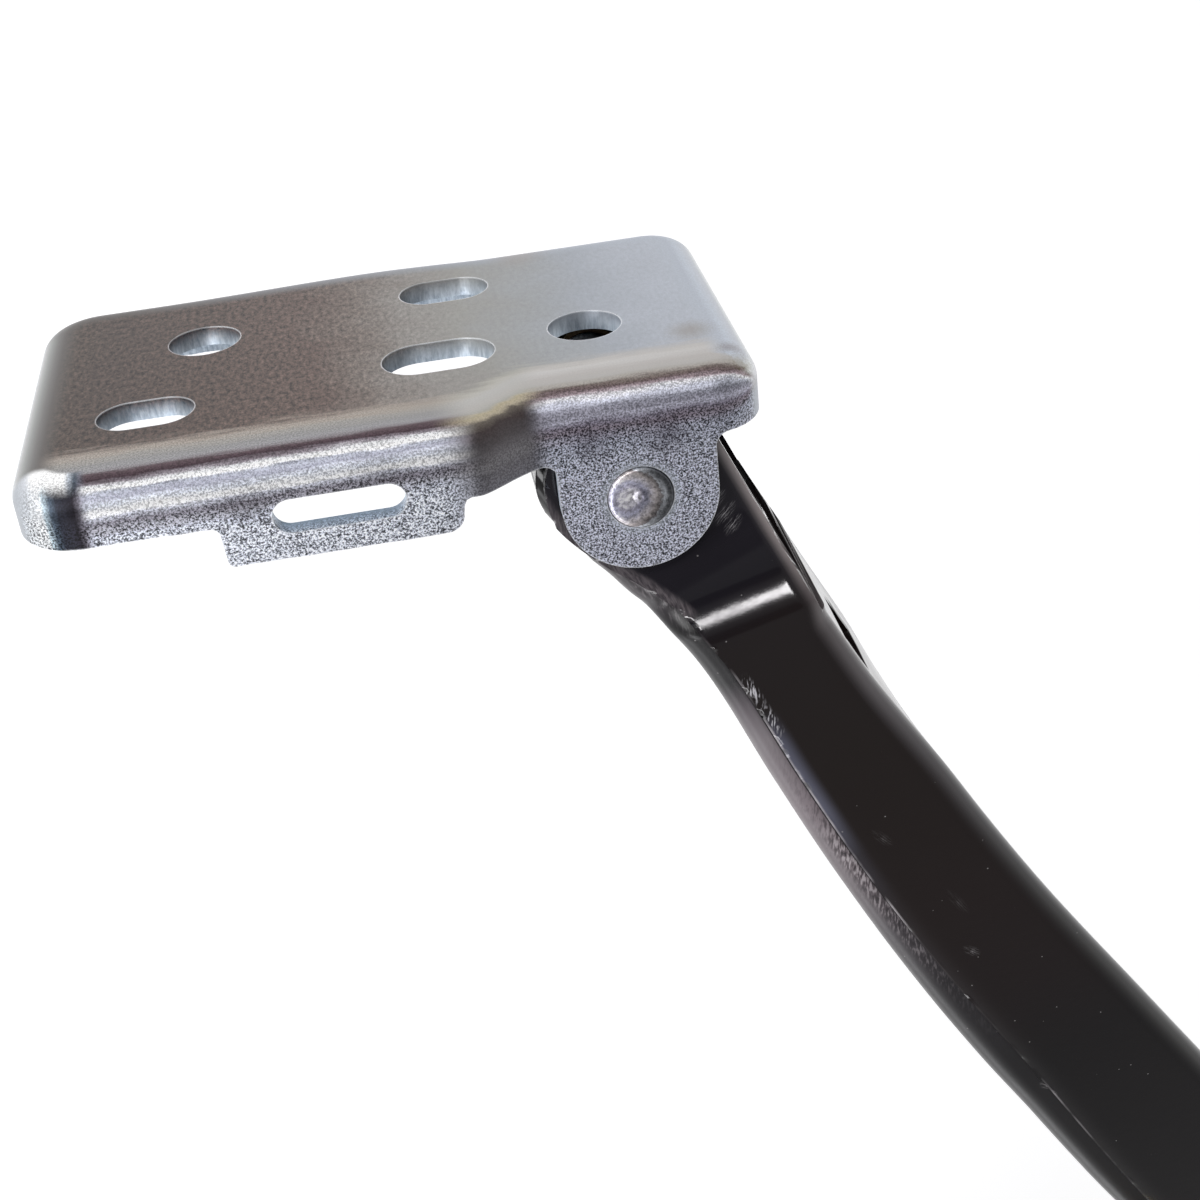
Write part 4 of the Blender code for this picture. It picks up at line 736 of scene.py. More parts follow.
SWIVEL = Vector(arm_point(SWIVEL_S, SWIVEL_OFF))
web_end = curve(35.5, UPPER_EDGE)
web_relief = [(-25.0, 13.4), (22.0, 13.4), (33.5, web_end - 1.6), (35.5, web_end + 1.0), (35.5, 40.0), (-25.0, 40.0)]
far_relief = [(-24.0, 10.9), (6.6, 10.9), (22.0, 12.6), (34.8, 12.6), (34.8, 39.0), (-24.0, 39.0)]
web_hole = [(42.0, 4.0), (50.0, 4.0), (50.0, 30.0), (42.0, 30.0)]
hinge_bore = circle(HINGE_X, HINGE_Y, PIN_R + BUSH_WALL + 2 * GAP)
swivel_bore = circle(SWIVEL.x, SWIVEL.y, SWIVEL_R + BUSH_WALL + 2 * GAP)
ear_gap = [(-25.0, 9.5), (30.5, 9.5), (32.5, 40.0), (-25.0, 40.0)]
outer_cuts = [start_cut(13.2), tip_cut(TIP_R), prism(arm_flat(web_relief), "z", FAR_EAR_FACE + 3.0, 45.0),
              prism(arm_flat(ear_gap), "z", FAR_EAR_FACE + 4.6, EAR_FACE - 5.5),
              prism(arm_flat(far_relief), "z", -40.0, FAR_EAR_FACE + 3.6), prism(arm_flat(web_hole), "z", 15.0, 27.4),
              prism(hinge_bore, "z", -40.0, 45.0), prism(swivel_bore, "z", -10.0, 45.0)]
inner_relief = [(-25.0, 12.4), (60.0, 12.4), (60.0, 40.0), (-25.0, 40.0)]
inner_cuts = [start_cut(14.2), tip_cut(TIP_R + 0.8), prism(arm_flat(inner_relief), "z", -40.0, 45.0),
              prism(hinge_bore, "z", -40.0, 45.0), prism(swivel_bore, "z", -10.0, 45.0)]
stations = spaced(-15.0, 18.0, 1.0) + spaced(18.0, 33.0, 0.5) + spaced(33.0, 60.0, 1.0) + spaced(60.0, 200.0, 2.0) + spaced(200.0, 240.0, 2.0) + [240.0]

# Black stoving enamel over pressed steel: glossy and slightly wavy, with dust in it; the strip under the near
# wall carries a painted lilac grey reflection.
black_enamel = bpy.data.materials.new("black_stoving_enamel")
black_enamel.use_nodes = True
tree = black_enamel.node_tree
tree.nodes.clear()
coord = add(tree, "ShaderNodeTexCoord")
mm = add(tree, "ShaderNodeVectorMath", {"operation": "SCALE"}, {0: coord.outputs["Object"], "Scale": 1000.0})
to_arm = add(tree, "ShaderNodeMapping", {"vector_type": "TEXTURE"},
             {"Vector": mm.outputs["Vector"], "Location": (HINGE_X, HINGE_Y, 0.0), "Rotation": (0.0, 0.0, ARM_TILT)})
arm_place = to_arm.outputs["Vector"]
arm_axes = add(tree, "ShaderNodeSeparateXYZ", inputs={0: arm_place})
strip_mark = add(tree, "ShaderNodeAttribute", {"attribute_name": "strip"}).outputs["Fac"]
from_edge = add(tree, "ShaderNodeAttribute", {"attribute_name": "from_edge"}).outputs["Fac"]
bend_mark = add(tree, "ShaderNodeAttribute", {"attribute_name": "upper_bend"}).outputs["Fac"]
arm_scale = add(tree, "ShaderNodeMapRange", inputs={"Value": arm_axes.outputs["X"], "From Min": 0.0, "From Max": 230.0})
# the near wall: cool black by the ear, warm black along the middle, deeper black towards the roller
wall_black = add(tree, "ShaderNodeValToRGB", inputs={"Fac": arm_scale.outputs[0]}, stops=[
    (0.07, "#1f1d22"), (0.10, "#19171c"), (0.13, "#1d1818"), (0.26, "#1c1614"), (0.43, "#1a1211"), (0.52, "#160e0e"),
    (0.61, "#0d090a"), (1.0, "#0c0909")])
# the strip below it: painted reflection, lilac grey from 45 to 95 mm, black at both ends
strip_reflection_tone = add(tree, "ShaderNodeValToRGB", inputs={"Fac": arm_scale.outputs[0]}, stops=[
    (0.0, "#2a2627"), (0.03, "#423d40"), (0.075, "#423d40"), (0.095, "#302c30"), (0.11, "#0a090b"), (0.165, "#19171a"),
    (0.19, "#575055"), (0.22, "#736c70"), (0.29, "#7a7075"), (0.36, "#6b6266"), (0.43, "#454044"), (0.50, "#272427"),
    (0.61, "#191719"), (1.0, "#161415")])
body_tone = add(tree, "ShaderNodeMix", {"data_type": "RGBA"},
                {"Factor": strip_mark, 6: wall_black.outputs[0], 7: strip_reflection_tone.outputs[0]})
# press marks: strokes 0.4 mm apart that run at 28 degrees to the edge line
stroke_turn = add(tree, "ShaderNodeMath", {"operation": "MULTIPLY"}, {0: arm_axes.outputs["X"], 1: 0.47})
stroke_across = add(tree, "ShaderNodeMath", {"operation": "MULTIPLY_ADD"},
                    {0: from_edge, 1: 0.88, 2: stroke_turn.outputs[0]})
stroke_ahead = add(tree, "ShaderNodeMath", {"operation": "MULTIPLY_ADD"},
                   {0: from_edge, 1: -0.53, 2: arm_axes.outputs["X"]})
fine = add(tree, "ShaderNodeMath", {"operation": "MULTIPLY"}, {0: stroke_across.outputs[0], 1: 2.6})
long = add(tree, "ShaderNodeMath", {"operation": "MULTIPLY"}, {0: stroke_ahead.outputs[0], 1: 0.40})
stroke_vector = add(tree, "ShaderNodeCombineXYZ", inputs={0: fine.outputs[0], 1: long.outputs[0]})
lines = add(tree, "ShaderNodeTexNoise", inputs={"Vector": stroke_vector.outputs["Vector"], "Scale": 1.0, "Detail": 2.0,
                                                "Roughness": 0.6})
patch_vector = add(tree, "ShaderNodeVectorMath", {"operation": "MULTIPLY"}, {0: arm_place, 1: (0.16, 0.2, 0.2)})
patches = add(tree, "ShaderNodeTexNoise", inputs={"Vector": patch_vector.outputs["Vector"], "Scale": 1.0, "Detail": 2.0})
patch_share = add(tree, "ShaderNodeMapRange", inputs={"Value": patches.outputs["Fac"], "From Min": 0.36, "From Max": 0.58})
dark_lines = add(tree, "ShaderNodeMapRange", inputs={"Value": lines.outputs["Fac"], "From Min": 0.50, "From Max": 0.40})
dark_where = add(tree, "ShaderNodeValToRGB", inputs={"Fac": arm_scale.outputs[0]}, stops=[
    (0.02, "#b0b0b0"), (0.10, "#b0b0b0"), (0.12, "#404040"), (0.21, "#101010"), (0.27, "#909090"), (0.34, "#f0f0f0"),
    (0.55, "#b0b0b0"), (0.65, "#202020")])
dark_fade = add(tree, "ShaderNodeMapRange", {"interpolation_type": "SMOOTHSTEP"},
                {"Value": from_edge, "From Min": -4.2, "From Max": -1.2})
dark_a = add(tree, "ShaderNodeMath", {"operation": "MULTIPLY"}, {0: dark_lines.outputs[0], 1: dark_where.outputs[0]})
dark_b = add(tree, "ShaderNodeMath", {"operation": "MULTIPLY"}, {0: dark_a.outputs[0], 1: dark_fade.outputs[0]})
dark_c = add(tree, "ShaderNodeMath", {"operation": "MULTIPLY"}, {0: dark_b.outputs[0], 1: strip_mark})
hatched = add(tree, "ShaderNodeMix", {"data_type": "RGBA"},
              {"Factor": dark_c.outputs[0], 6: body_tone.outputs[2], 7: linear("#262225")})
light_lines = add(tree, "ShaderNodeMapRange", inputs={"Value": lines.outputs["Fac"], "From Min": 0.51, "From Max": 0.60})
light_where = add(tree, "ShaderNodeValToRGB", inputs={"Fac": arm_scale.outputs[0]}, stops=[
    (0.02, "#808080"), (0.10, "#808080"), (0.12, "#202020"), (0.30, "#000000"), (0.34, "#ffffff"), (0.43, "#b0b0b0"),
    (0.52, "#484848"), (0.60, "#080808")])
light_fade = add(tree, "ShaderNodeMapRange", {"interpolation_type": "SMOOTHSTEP"},
                 {"Value": from_edge, "From Min": -3.2, "From Max": -1.6})
light_a = add(tree, "ShaderNodeMath", {"operation": "MULTIPLY"}, {0: light_lines.outputs[0], 1: light_where.outputs[0]})
light_b = add(tree, "ShaderNodeMath", {"operation": "MULTIPLY"}, {0: light_a.outputs[0], 1: light_fade.outputs[0]})
marks = add(tree, "ShaderNodeMath", {"operation": "MULTIPLY"}, {0: light_b.outputs[0], 1: strip_mark})
marked = add(tree, "ShaderNodeMix", {"data_type": "RGBA"},
             {"Factor": marks.outputs[0], 6: hatched.outputs[2], 7: linear("#aaa3a6")})
# the near wall's rolled lower edge: a painted bluish sheen that is strongest at 50 to 70 mm
on_wall = add(tree, "ShaderNodeAttribute", {"attribute_name": "outer_shell"}).outputs["Fac"]
on_inner = add(tree, "ShaderNodeMath", {"operation": "SUBTRACT"}, {0: 1.0, 1: on_wall})
sheen_where = add(tree, "ShaderNodeValToRGB", inputs={"Fac": arm_scale.outputs[0]}, stops=[
    (0.19, "#000000"), (0.22, "#f0f0f0"), (0.29, "#f0f0f0"), (0.34, "#707070"), (0.40, "#303030"), (0.58, "#101010")])
sheen_fade = add(tree, "ShaderNodeMapRange", {"interpolation_type": "SMOOTHSTEP"},
                 {"Value": from_edge, "From Min": 2.9, "From Max": 0.2})
sheen_a = add(tree, "ShaderNodeMath", {"operation": "MULTIPLY"}, {0: sheen_where.outputs[0], 1: sheen_fade.outputs[0]})
sheen_b = add(tree, "ShaderNodeMath", {"operation": "MULTIPLY"}, {0: sheen_a.outputs[0], 1: on_wall})
sheened = add(tree, "ShaderNodeMix", {"data_type": "RGBA"},
              {"Factor": sheen_b.outputs[0], 6: marked.outputs[2], 7: linear("#5b5c6b")})
# by the ear the press dragged the lower edge: brown grey strokes
drag_where = add(tree, "ShaderNodeMapRange", {"interpolation_type": "SMOOTHSTEP"},
                 {"Value": arm_axes.outputs["X"], "From Min": 24.4, "From Max": 22.6})
drag_fade = add(tree, "ShaderNodeMapRange", {"interpolation_type": "SMOOTHSTEP"},
                {"Value": from_edge, "From Min": 2.3, "From Max": 0.9})
drag_lines = add(tree, "ShaderNodeMapRange", inputs={"Value": lines.outputs["Fac"], "From Min": 0.38, "From Max": 0.62,
                                                     "To Min": 0.35, "To Max": 1.0})
drag_a = add(tree, "ShaderNodeMath", {"operation": "MULTIPLY"}, {0: drag_where.outputs[0], 1: drag_fade.outputs[0]})
drag_b = add(tree, "ShaderNodeMath", {"operation": "MULTIPLY"}, {0: drag_a.outputs[0], 1: drag_lines.outputs[0]})
drag_c = add(tree, "ShaderNodeMath", {"operation": "MULTIPLY"}, {0: drag_b.outputs[0], 1: on_wall})
dragged = add(tree, "ShaderNodeMix", {"data_type": "RGBA"},
              {"Factor": drag_c.outputs[0], 6: sheened.outputs[2], 7: linear("#5f595c")})
# between 35 and 50 mm something scraped the edge: short white strokes
scrape_where = add(tree, "ShaderNodeValToRGB", inputs={"Fac": arm_scale.outputs[0]}, stops=[
    (0.156, "#000000"), (0.164, "#f0f0f0"), (0.175, "#f0f0f0"), (0.182, "#707070"), (0.19, "#e0e0e0"), (0.205, "#e0e0e0"),
    (0.215, "#000000")])
scrape_band = add(tree, "ShaderNodeMapRange", {"interpolation_type": "SMOOTHSTEP"},
                  {"Value": from_edge, "From Min": 2.2, "From Max": 1.2})
scrape_start = add(tree, "ShaderNodeMapRange", {"interpolation_type": "SMOOTHSTEP"},
                   {"Value": from_edge, "From Min": 0.1, "From Max": 0.6})
scrape_a = add(tree, "ShaderNodeMath", {"operation": "MULTIPLY"}, {0: scrape_where.outputs[0], 1: scrape_band.outputs[0]})
scrape_b = add(tree, "ShaderNodeMath", {"operation": "MULTIPLY"}, {0: scrape_a.outputs[0], 1: scrape_start.outputs[0]})
scrape_c = add(tree, "ShaderNodeMath", {"operation": "MULTIPLY"}, {0: scrape_b.outputs[0], 1: light_lines.outputs[0]})
scrape_d = add(tree, "ShaderNodeMath", {"operation": "MULTIPLY"}, {0: scrape_c.outputs[0], 1: on_wall})
scraped = add(tree, "ShaderNodeMix", {"data_type": "RGBA"},
              {"Factor": scrape_d.outputs[0], 6: dragged.outputs[2], 7: linear("#c9c7cc")})
# a thin painted highlight on the edge itself, and the painted shadow line of the gap just under it
line_where = add(tree, "ShaderNodeValToRGB", inputs={"Fac": arm_scale.outputs[0]}, stops=[
    (0.11, "#000000"), (0.13, "#909090"), (0.17, "#909090"), (0.20, "#d0d0d0"), (0.40, "#d0d0d0"), (0.45, "#404040"),
    (0.62, "#202020"), (0.64, "#a0a0a0"), (0.75, "#606060")])
line_band = add(tree, "ShaderNodeMapRange", inputs={"Value": from_edge, "From Min": 0.42, "From Max": 0.15})
line_a = add(tree, "ShaderNodeMath", {"operation": "MULTIPLY"}, {0: line_where.outputs[0], 1: line_band.outputs[0]})
line_b = add(tree, "ShaderNodeMath", {"operation": "MULTIPLY"}, {0: line_a.outputs[0], 1: patch_share.outputs[0]})
line_c = add(tree, "ShaderNodeMath", {"operation": "MULTIPLY"}, {0: line_b.outputs[0], 1: on_wall})
edge_highlighted = add(tree, "ShaderNodeMix", {"data_type": "RGBA"},
            {"Factor": line_c.outputs[0], 6: scraped.outputs[2], 7: linear("#c4bfc2")})
gap_band = add(tree, "ShaderNodeMapRange", inputs={"Value": from_edge, "From Min": -0.55, "From Max": -0.35})
gap_share = add(tree, "ShaderNodeMath", {"operation": "MULTIPLY"}, {0: gap_band.outputs[0], 1: on_inner.outputs[0]})
gapped = add(tree, "ShaderNodeMix", {"data_type": "RGBA"},
             {"Factor": gap_share.outputs[0], 6: edge_highlighted.outputs[2], 7: linear("#050405")})
# the upper bend's painted reflection: pinkish by the hinge, lilac further on, black past 95 mm
bend_reflection_tone = add(tree, "ShaderNodeValToRGB", inputs={"Fac": arm_scale.outputs[0]}, stops=[
    (0.0, "#b0a6a5"), (0.10, "#a79d9c"), (0.125, "#6d6465"), (0.16, "#4d4648"), (0.22, "#4f494c"), (0.29, "#3d383b"),
    (0.34, "#322d30"), (0.43, "#1a1618"), (0.55, "#0f0c0d"), (1.0, "#0d0a0a")])
edged = add(tree, "ShaderNodeMix", {"data_type": "RGBA"},
            {"Factor": bend_mark, 6: gapped.outputs[2], 7: bend_reflection_tone.outputs[0]})
# specks of dust under the paint, up to 0.3 mm wide
dust = add(tree, "ShaderNodeTexVoronoi", inputs={"Vector": mm.outputs["Vector"], "Scale": 0.30, "Randomness": 1.0})
dust_share = add(tree, "ShaderNodeMapRange", inputs={"Value": dust.outputs["Distance"], "From Min": 0.05,
                                                     "From Max": 0.025, "To Max": 0.7})
dusty = add(tree, "ShaderNodeMix", {"data_type": "RGBA"},
            {"Factor": dust_share.outputs[0], 6: edged.outputs[2], 7: linear("#8f8c8c")})
tone = dusty.outputs[2]
# scuffs: place along and across the near wall, length, slant in degrees, strength
for s, off, span, turned_by, strength in (
        (149.6, 3.9, 1.6, 40.0, 0.9), (9.5, 8.4, 2.6, -64.0, 0.7), (12.0, 8.8, 2.6, -64.0, 0.75), (14.2, 8.9, 2.2, -64.0, 0.6),
        (77.0, 3.0, 3.0, 20.0, 0.16), (97.0, 8.0, 4.0, 10.0, 0.12), (108.5, 5.6, 2.2, 30.0, 0.45)):
    spot_map = add(tree, "ShaderNodeMapping", {"vector_type": "TEXTURE"}, {
        "Vector": arm_place, "Location": (s, off, ARM_TOP - 3.0), "Rotation": (0.0, 0.0, math.radians(turned_by)),
        "Scale": (span, 1.1, 8.0)})
    inside = add(tree, "ShaderNodeVectorMath", {"operation": "LENGTH"}, {0: spot_map.outputs["Vector"]})
    scratch_vector = add(tree, "ShaderNodeVectorMath", {"operation": "MULTIPLY"},
                         {0: spot_map.outputs["Vector"], 1: (0.6, 3.2, 0.1)})
    scratch = add(tree, "ShaderNodeTexNoise", inputs={"Vector": scratch_vector.outputs["Vector"], "Scale": 1.6,
                                                      "Detail": 3.0, "Roughness": 0.75})
    core = add(tree, "ShaderNodeMapRange", inputs={"Value": inside.outputs["Value"], "From Min": 1.0, "From Max": 0.2,
                                                   "To Max": strength})
    bits = add(tree, "ShaderNodeMapRange", inputs={"Value": scratch.outputs["Fac"], "From Min": 0.48, "From Max": 0.66})
    both = add(tree, "ShaderNodeMath", {"operation": "MULTIPLY"}, {0: core.outputs[0], 1: bits.outputs[0]})
    tone = add(tree, "ShaderNodeMix", {"data_type": "RGBA"},
               {"Factor": both.outputs[0], 6: tone, 7: linear("#c6c2c4")}).outputs[2]
peel = add(tree, "ShaderNodeTexNoise", inputs={"Vector": mm.outputs["Vector"], "Scale": 0.55, "Detail": 2.0})
peel_sum = add(tree, "ShaderNodeMath", {"operation": "MULTIPLY_ADD"},
               {0: marks.outputs[0], 1: 0.8, 2: peel.outputs["Fac"]})
peel_bump = add(tree, "ShaderNodeBump", inputs={"Strength": 0.045, "Distance": 0.0002, "Height": peel_sum.outputs[0]})
gloss = add(tree, "ShaderNodeMapRange", inputs={"Value": patches.outputs["Fac"], "From Min": 0.3, "From Max": 0.7,
                                                "To Min": 0.10, "To Max": 0.15})
gloss_strip = add(tree, "ShaderNodeMath", {"operation": "MULTIPLY_ADD"}, {0: strip_mark, 1: 0.2, 2: gloss.outputs[0]})
surface = add(tree, "ShaderNodeBsdfPrincipled", inputs={
    "Base Color": tone, "Metallic": 0.0, "Roughness": gloss_strip.outputs[0], "Normal": peel_bump.outputs["Normal"]})
add(tree, "ShaderNodeOutputMaterial", inputs={"Surface": surface.outputs[0]})

outer_arm = made_piece("pressed_outer_arm", skin([outer_ring(s) for s in stations]), outer_cuts, 0.28, black_enamel,
                       "swing_arm", ["arm_outer_shell"])
inner_arm = made_piece("pressed_inner_arm", skin([inner_ring(s) for s in stations]), inner_cuts, 0.28, black_enamel,
                       "swing_arm", ["arm_inner_shell"])
for shell in (outer_arm, inner_arm):
    strip_values = shell.data.attributes.new("strip", "FLOAT", "POINT")
    edge_values = shell.data.attributes.new("from_edge", "FLOAT", "POINT")
    bend_values = shell.data.attributes.new("upper_bend", "FLOAT", "POINT")
    shell_values = shell.data.attributes.new("outer_shell", "FLOAT", "POINT")
    for vert in shell.data.vertices:
        x, y, z = (1000.0 * c for c in vert.co)
        s = math.cos(ARM_TILT) * (x - HINGE_X) + math.sin(ARM_TILT) * (y - HINGE_Y)
        off = -math.sin(ARM_TILT) * (x - HINGE_X) + math.cos(ARM_TILT) * (y - HINGE_Y)
        low = curve(s, LOWER_EDGE)
        depth = near_face(s, off) - z
        shell_values.data[vert.index].value = 0.0 if shell == inner_arm else 1.0
        bend_start = curve(s, UPPER_EDGE) - 1.25 * (1.0 - ease((s - 46.0) / 32.0)) * ease((s - 30.0) / 6.0) - ARM_FOLD
        if shell == inner_arm:
            strip_values.data[vert.index].value = ease((low + 0.6 - off) / 0.5) * ease((11.0 - depth) / 3.0)
            edge_values.data[vert.index].value = off - low
        else:
            edge_values.data[vert.index].value = off - low if depth < 2.0 else 30.0
            bend_values.data[vert.index].value = ease((off - bend_start - 0.9) / 2.6) * ease((9.0 - depth) / 3.0)

# ---- Bushes ---------------------------------------------------------------
# Four flanged plain bearings between the pins and the arm's ears, pressed and sintered bronze soaked in oil:
# matt, with small dark pores.

sintered = bpy.data.materials.new("sintered_bronze_oiled")
sintered.use_nodes = True
tree = sintered.node_tree
tree.nodes.clear()
coord = add(tree, "ShaderNodeTexCoord")
pores = add(tree, "ShaderNodeTexVoronoi", inputs={"Vector": coord.outputs["Object"], "Scale": 2600.0})
pore_depth = add(tree, "ShaderNodeMapRange", inputs={"Value": pores.outputs["Distance"], "From Min": 0.1, "From Max": 0.4})
oil = add(tree, "ShaderNodeTexNoise", inputs={"Vector": coord.outputs["Object"], "Scale": 400.0, "Detail": 3.0})
bronze_tone = add(tree, "ShaderNodeMix", {"data_type": "RGBA"},
                  {"Factor": pore_depth.outputs[0], 6: linear("#1d1710"), 7: linear("#594730")})
bronze_oiled = add(tree, "ShaderNodeMix", {"data_type": "RGBA"},
                   {"Factor": oil.outputs["Fac"], 6: bronze_tone.outputs[2], 7: linear("#2f261a")})
bronze_bump = add(tree, "ShaderNodeBump", inputs={"Strength": 0.3, "Distance": 0.0001, "Height": pore_depth.outputs[0]})
surface = add(tree, "ShaderNodeBsdfPrincipled", inputs={
    "Base Color": bronze_oiled.outputs[2], "Metallic": 0.9, "Roughness": 0.45, "Normal": bronze_bump.outputs["Normal"]})
add(tree, "ShaderNodeOutputMaterial", inputs={"Surface": surface.outputs[0]})


def bush_profile(bore, face, into):
    """Flange on the wall's outer face, barrel through the wall."""
    k = 1.0 if into > 0 else -1.0
    r0, r1, grow = bore + GAP, bore + GAP + BUSH_WALL, 8.6
    top = face - k * (GAP + FLANGE)
    return [(r0 + 0.2, top), (grow - 0.4, top), (grow - 0.1, top + k * 0.12), (grow, top + k * 0.4), (grow, face - k * GAP),
            (r1, face - k * GAP), (r1, face + into - k * 0.15), (r1 - 0.15, face + into), (r0 + 0.15, face + into),
            (r0, face + into - k * 0.15), (r0, top + k * 0.2)]


tip_face = min(far_face(SWIVEL_S), far_face(SWIVEL_S + TIP_R))
through = 2 * ARM_SHEET + GAP
for node, bore, face, into, centre in (
        ("hinge_bush_upper", PIN_R, EAR_FACE, -through, (HINGE_X, HINGE_Y, 0.0)),
        ("hinge_bush_lower", PIN_R, FAR_EAR_FACE, through, (HINGE_X, HINGE_Y, 0.0)),
        ("swivel_bush_upper", SWIVEL_R, ARM_TOP, -through, SWIVEL),
        ("swivel_bush_lower", SWIVEL_R, tip_face, through, SWIVEL)):
    made_piece("sintered_" + node, turned(bush_profile(bore, face, into), centre), [], 0.0, sintered, "swing_arm",
               [node])

# ---- Roller carriage ------------------------------------------------------
# Blanked from 3 mm steel: a plate with two wings for the guide rollers and a tongue folded down for the load
# roller. Zinc plated after folding, like the bracket.

PLATE_LOW = ARM_TOP + 2 * GAP + FLANGE
PLATE_TOP = PLATE_LOW + SHEET
WING = 36.0
WING_CORNER = 8.0
TONGUE_HALF = 14.0
TONGUE_Y = -38.0
TONGUE_LOW = 7.0
LOAD_R = 13.5
TYRE_WALL = 0.2444 * LOAD_R
RACE_SPACE = 0.3111 * LOAD_R
RACE_OUT_R = LOAD_R - TYRE_WALL
RACE_IN_R = RACE_OUT_R - RACE_SPACE
AXLE_R = RACE_IN_R - 0.1481 * LOAD_R
LOAD_Z = 17.6
LOAD_Y = -26.5
GUIDE_X = WING - 11.0
GUIDE_Y = -6.0
GUIDE_AXLE_R = 3.0
sx, sy = SWIVEL.x, SWIVEL.y

zinc_plain = bpy.data.materials.new("zinc_plated_folded_steel")
zinc_plain.use_nodes = True
tree = zinc_plain.node_tree
tree.nodes.clear()
coord = add(tree, "ShaderNodeTexCoord")
mm = add(tree, "ShaderNodeVectorMath", {"operation": "SCALE"}, {0: coord.outputs["Object"], "Scale": 1000.0})
cloud = add(tree, "ShaderNodeTexNoise", inputs={"Vector": mm.outputs["Vector"], "Scale": 0.09, "Detail": 4.0,
                                                "Roughness": 0.6})
cloud_tone = add(tree, "ShaderNodeValToRGB", inputs={"Fac": cloud.outputs["Fac"]}, stops=[
    (0.30, "#7f7a77"), (0.42, "#94918e"), (0.52, "#a2a4a6"), (0.64, "#adb3bb"), (0.75, "#a79f92")])
grain = add(tree, "ShaderNodeTexNoise", inputs={"Vector": mm.outputs["Vector"], "Scale": 2.3, "Detail": 3.0,
                                                "Roughness": 0.75})
grain_lift = add(tree, "ShaderNodeMapRange", inputs={"Value": grain.outputs["Fac"], "From Min": 0.34, "From Max": 0.66,
                                                     "To Min": 0.55, "To Max": 1.4})
grained = add(tree, "ShaderNodeVectorMath", {"operation": "SCALE"},
              {0: cloud_tone.outputs[0], "Scale": grain_lift.outputs[0]})
rough_grain = add(tree, "ShaderNodeMapRange", inputs={"Value": grain.outputs["Fac"], "From Min": 0.3, "From Max": 0.7,
                                                      "To Min": 0.32, "To Max": 0.48})
grain_bump = add(tree, "ShaderNodeBump", inputs={"Strength": 0.3, "Distance": 0.0001, "Height": grain.outputs["Fac"]})
surface = add(tree, "ShaderNodeBsdfPrincipled", inputs={
    "Base Color": grained.outputs["Vector"], "Metallic": 0.72, "Roughness": rough_grain.outputs[0],
    "Normal": grain_bump.outputs["Normal"]})
add(tree, "ShaderNodeOutputMaterial", inputs={"Surface": surface.outputs[0]})

back_edge = sy + 13.0
fold_y = sy + TONGUE_Y + FOLD_R
fold_z = PLATE_TOP - FOLD_R
folded = [(back_edge, PLATE_TOP)]
folded += [(fold_y - FOLD_R * math.sin(a), fold_z + FOLD_R * math.cos(a)) for a in quarter(12)]
folded += [(sy + TONGUE_Y, TONGUE_LOW), (sy + TONGUE_Y + SHEET, TONGUE_LOW)]
inner_r = FOLD_R - SHEET
folded += [(fold_y - inner_r * math.cos(a), fold_z + inner_r * math.sin(a)) for a in quarter(8)]
folded += [(back_edge, PLATE_LOW)]
c = WING_CORNER
wing_y = sy - 21.0
wing_plan = [(WING + 5.0, 20.0), (WING + 5.0, -60.0), (TONGUE_HALF, -60.0), (TONGUE_HALF, wing_y - sy - 3.0)]
wing_plan += arc(TONGUE_HALF + 3.0, -24.0, 3.0, math.pi, math.pi / 2, 10)
wing_plan += arc(WING - c, -21.0 + c, c, -math.pi / 2, 0.0, 16) + arc(WING - c, 13.0 - c, c, 0.0, math.pi / 2, 16)
wing_plan += [(WING - c, 20.0)]
tongue_plan = [(sx - 40.0, TONGUE_LOW - 9.0), (sx - 40.0, LOAD_Z)]
tongue_plan += arc(sx, TONGUE_LOW + TONGUE_HALF, TONGUE_HALF, math.pi, 2 * math.pi, 48)
tongue_plan += [(sx + 40.0, LOAD_Z), (sx + 40.0, TONGUE_LOW - 9.0)]
carriage_cuts = [prism([(sx + x, sy + y) for x, y in wing_plan], "z", TONGUE_LOW - 5.0, PLATE_TOP + 5.0),
                 prism([(sx - x, sy + y) for x, y in wing_plan], "z", TONGUE_LOW - 5.0, PLATE_TOP + 5.0),
                 prism(tongue_plan, "y", sy + TONGUE_Y - 5.0, sy + TONGUE_Y + 10.0),
                 prism(circle(sx, sy, SWIVEL_R + GAP), "z", PLATE_LOW - 3.0, PLATE_TOP + 3.0),
                 prism(circle(sx - GUIDE_X, sy + GUIDE_Y, GUIDE_AXLE_R + GAP), "z", PLATE_LOW - 3.0, PLATE_TOP + 3.0),
                 prism(circle(sx + GUIDE_X, sy + GUIDE_Y, GUIDE_AXLE_R + GAP), "z", PLATE_LOW - 3.0, PLATE_TOP + 3.0),
                 prism(circle(sx, LOAD_Z, AXLE_R + GAP), "y", sy + TONGUE_Y - 3.0, sy + TONGUE_Y + 6.0)]
made_piece("folded_carriage", prism(folded, "x", sx - WING, sx + WING), carriage_cuts, 0.3, zinc_plain, "carriage",
           ["carriage_frame"])

# ---- Turned pins, studs and sleeves ---------------------------------------
# Swivel pin, load axle, spacer, guide studs and sleeves: turned from free cutting steel and left bright, so
# fine tool rings run round them. The pins' heads are riveted over.

turned_steel = bpy.data.materials.new("turned_free_cutting_steel")
turned_steel.use_nodes = True
tree = turned_steel.node_tree
tree.nodes.clear()
coord = add(tree, "ShaderNodeTexCoord")
mm = add(tree, "ShaderNodeVectorMath", {"operation": "SCALE"}, {0: coord.outputs["Object"], "Scale": 1000.0})
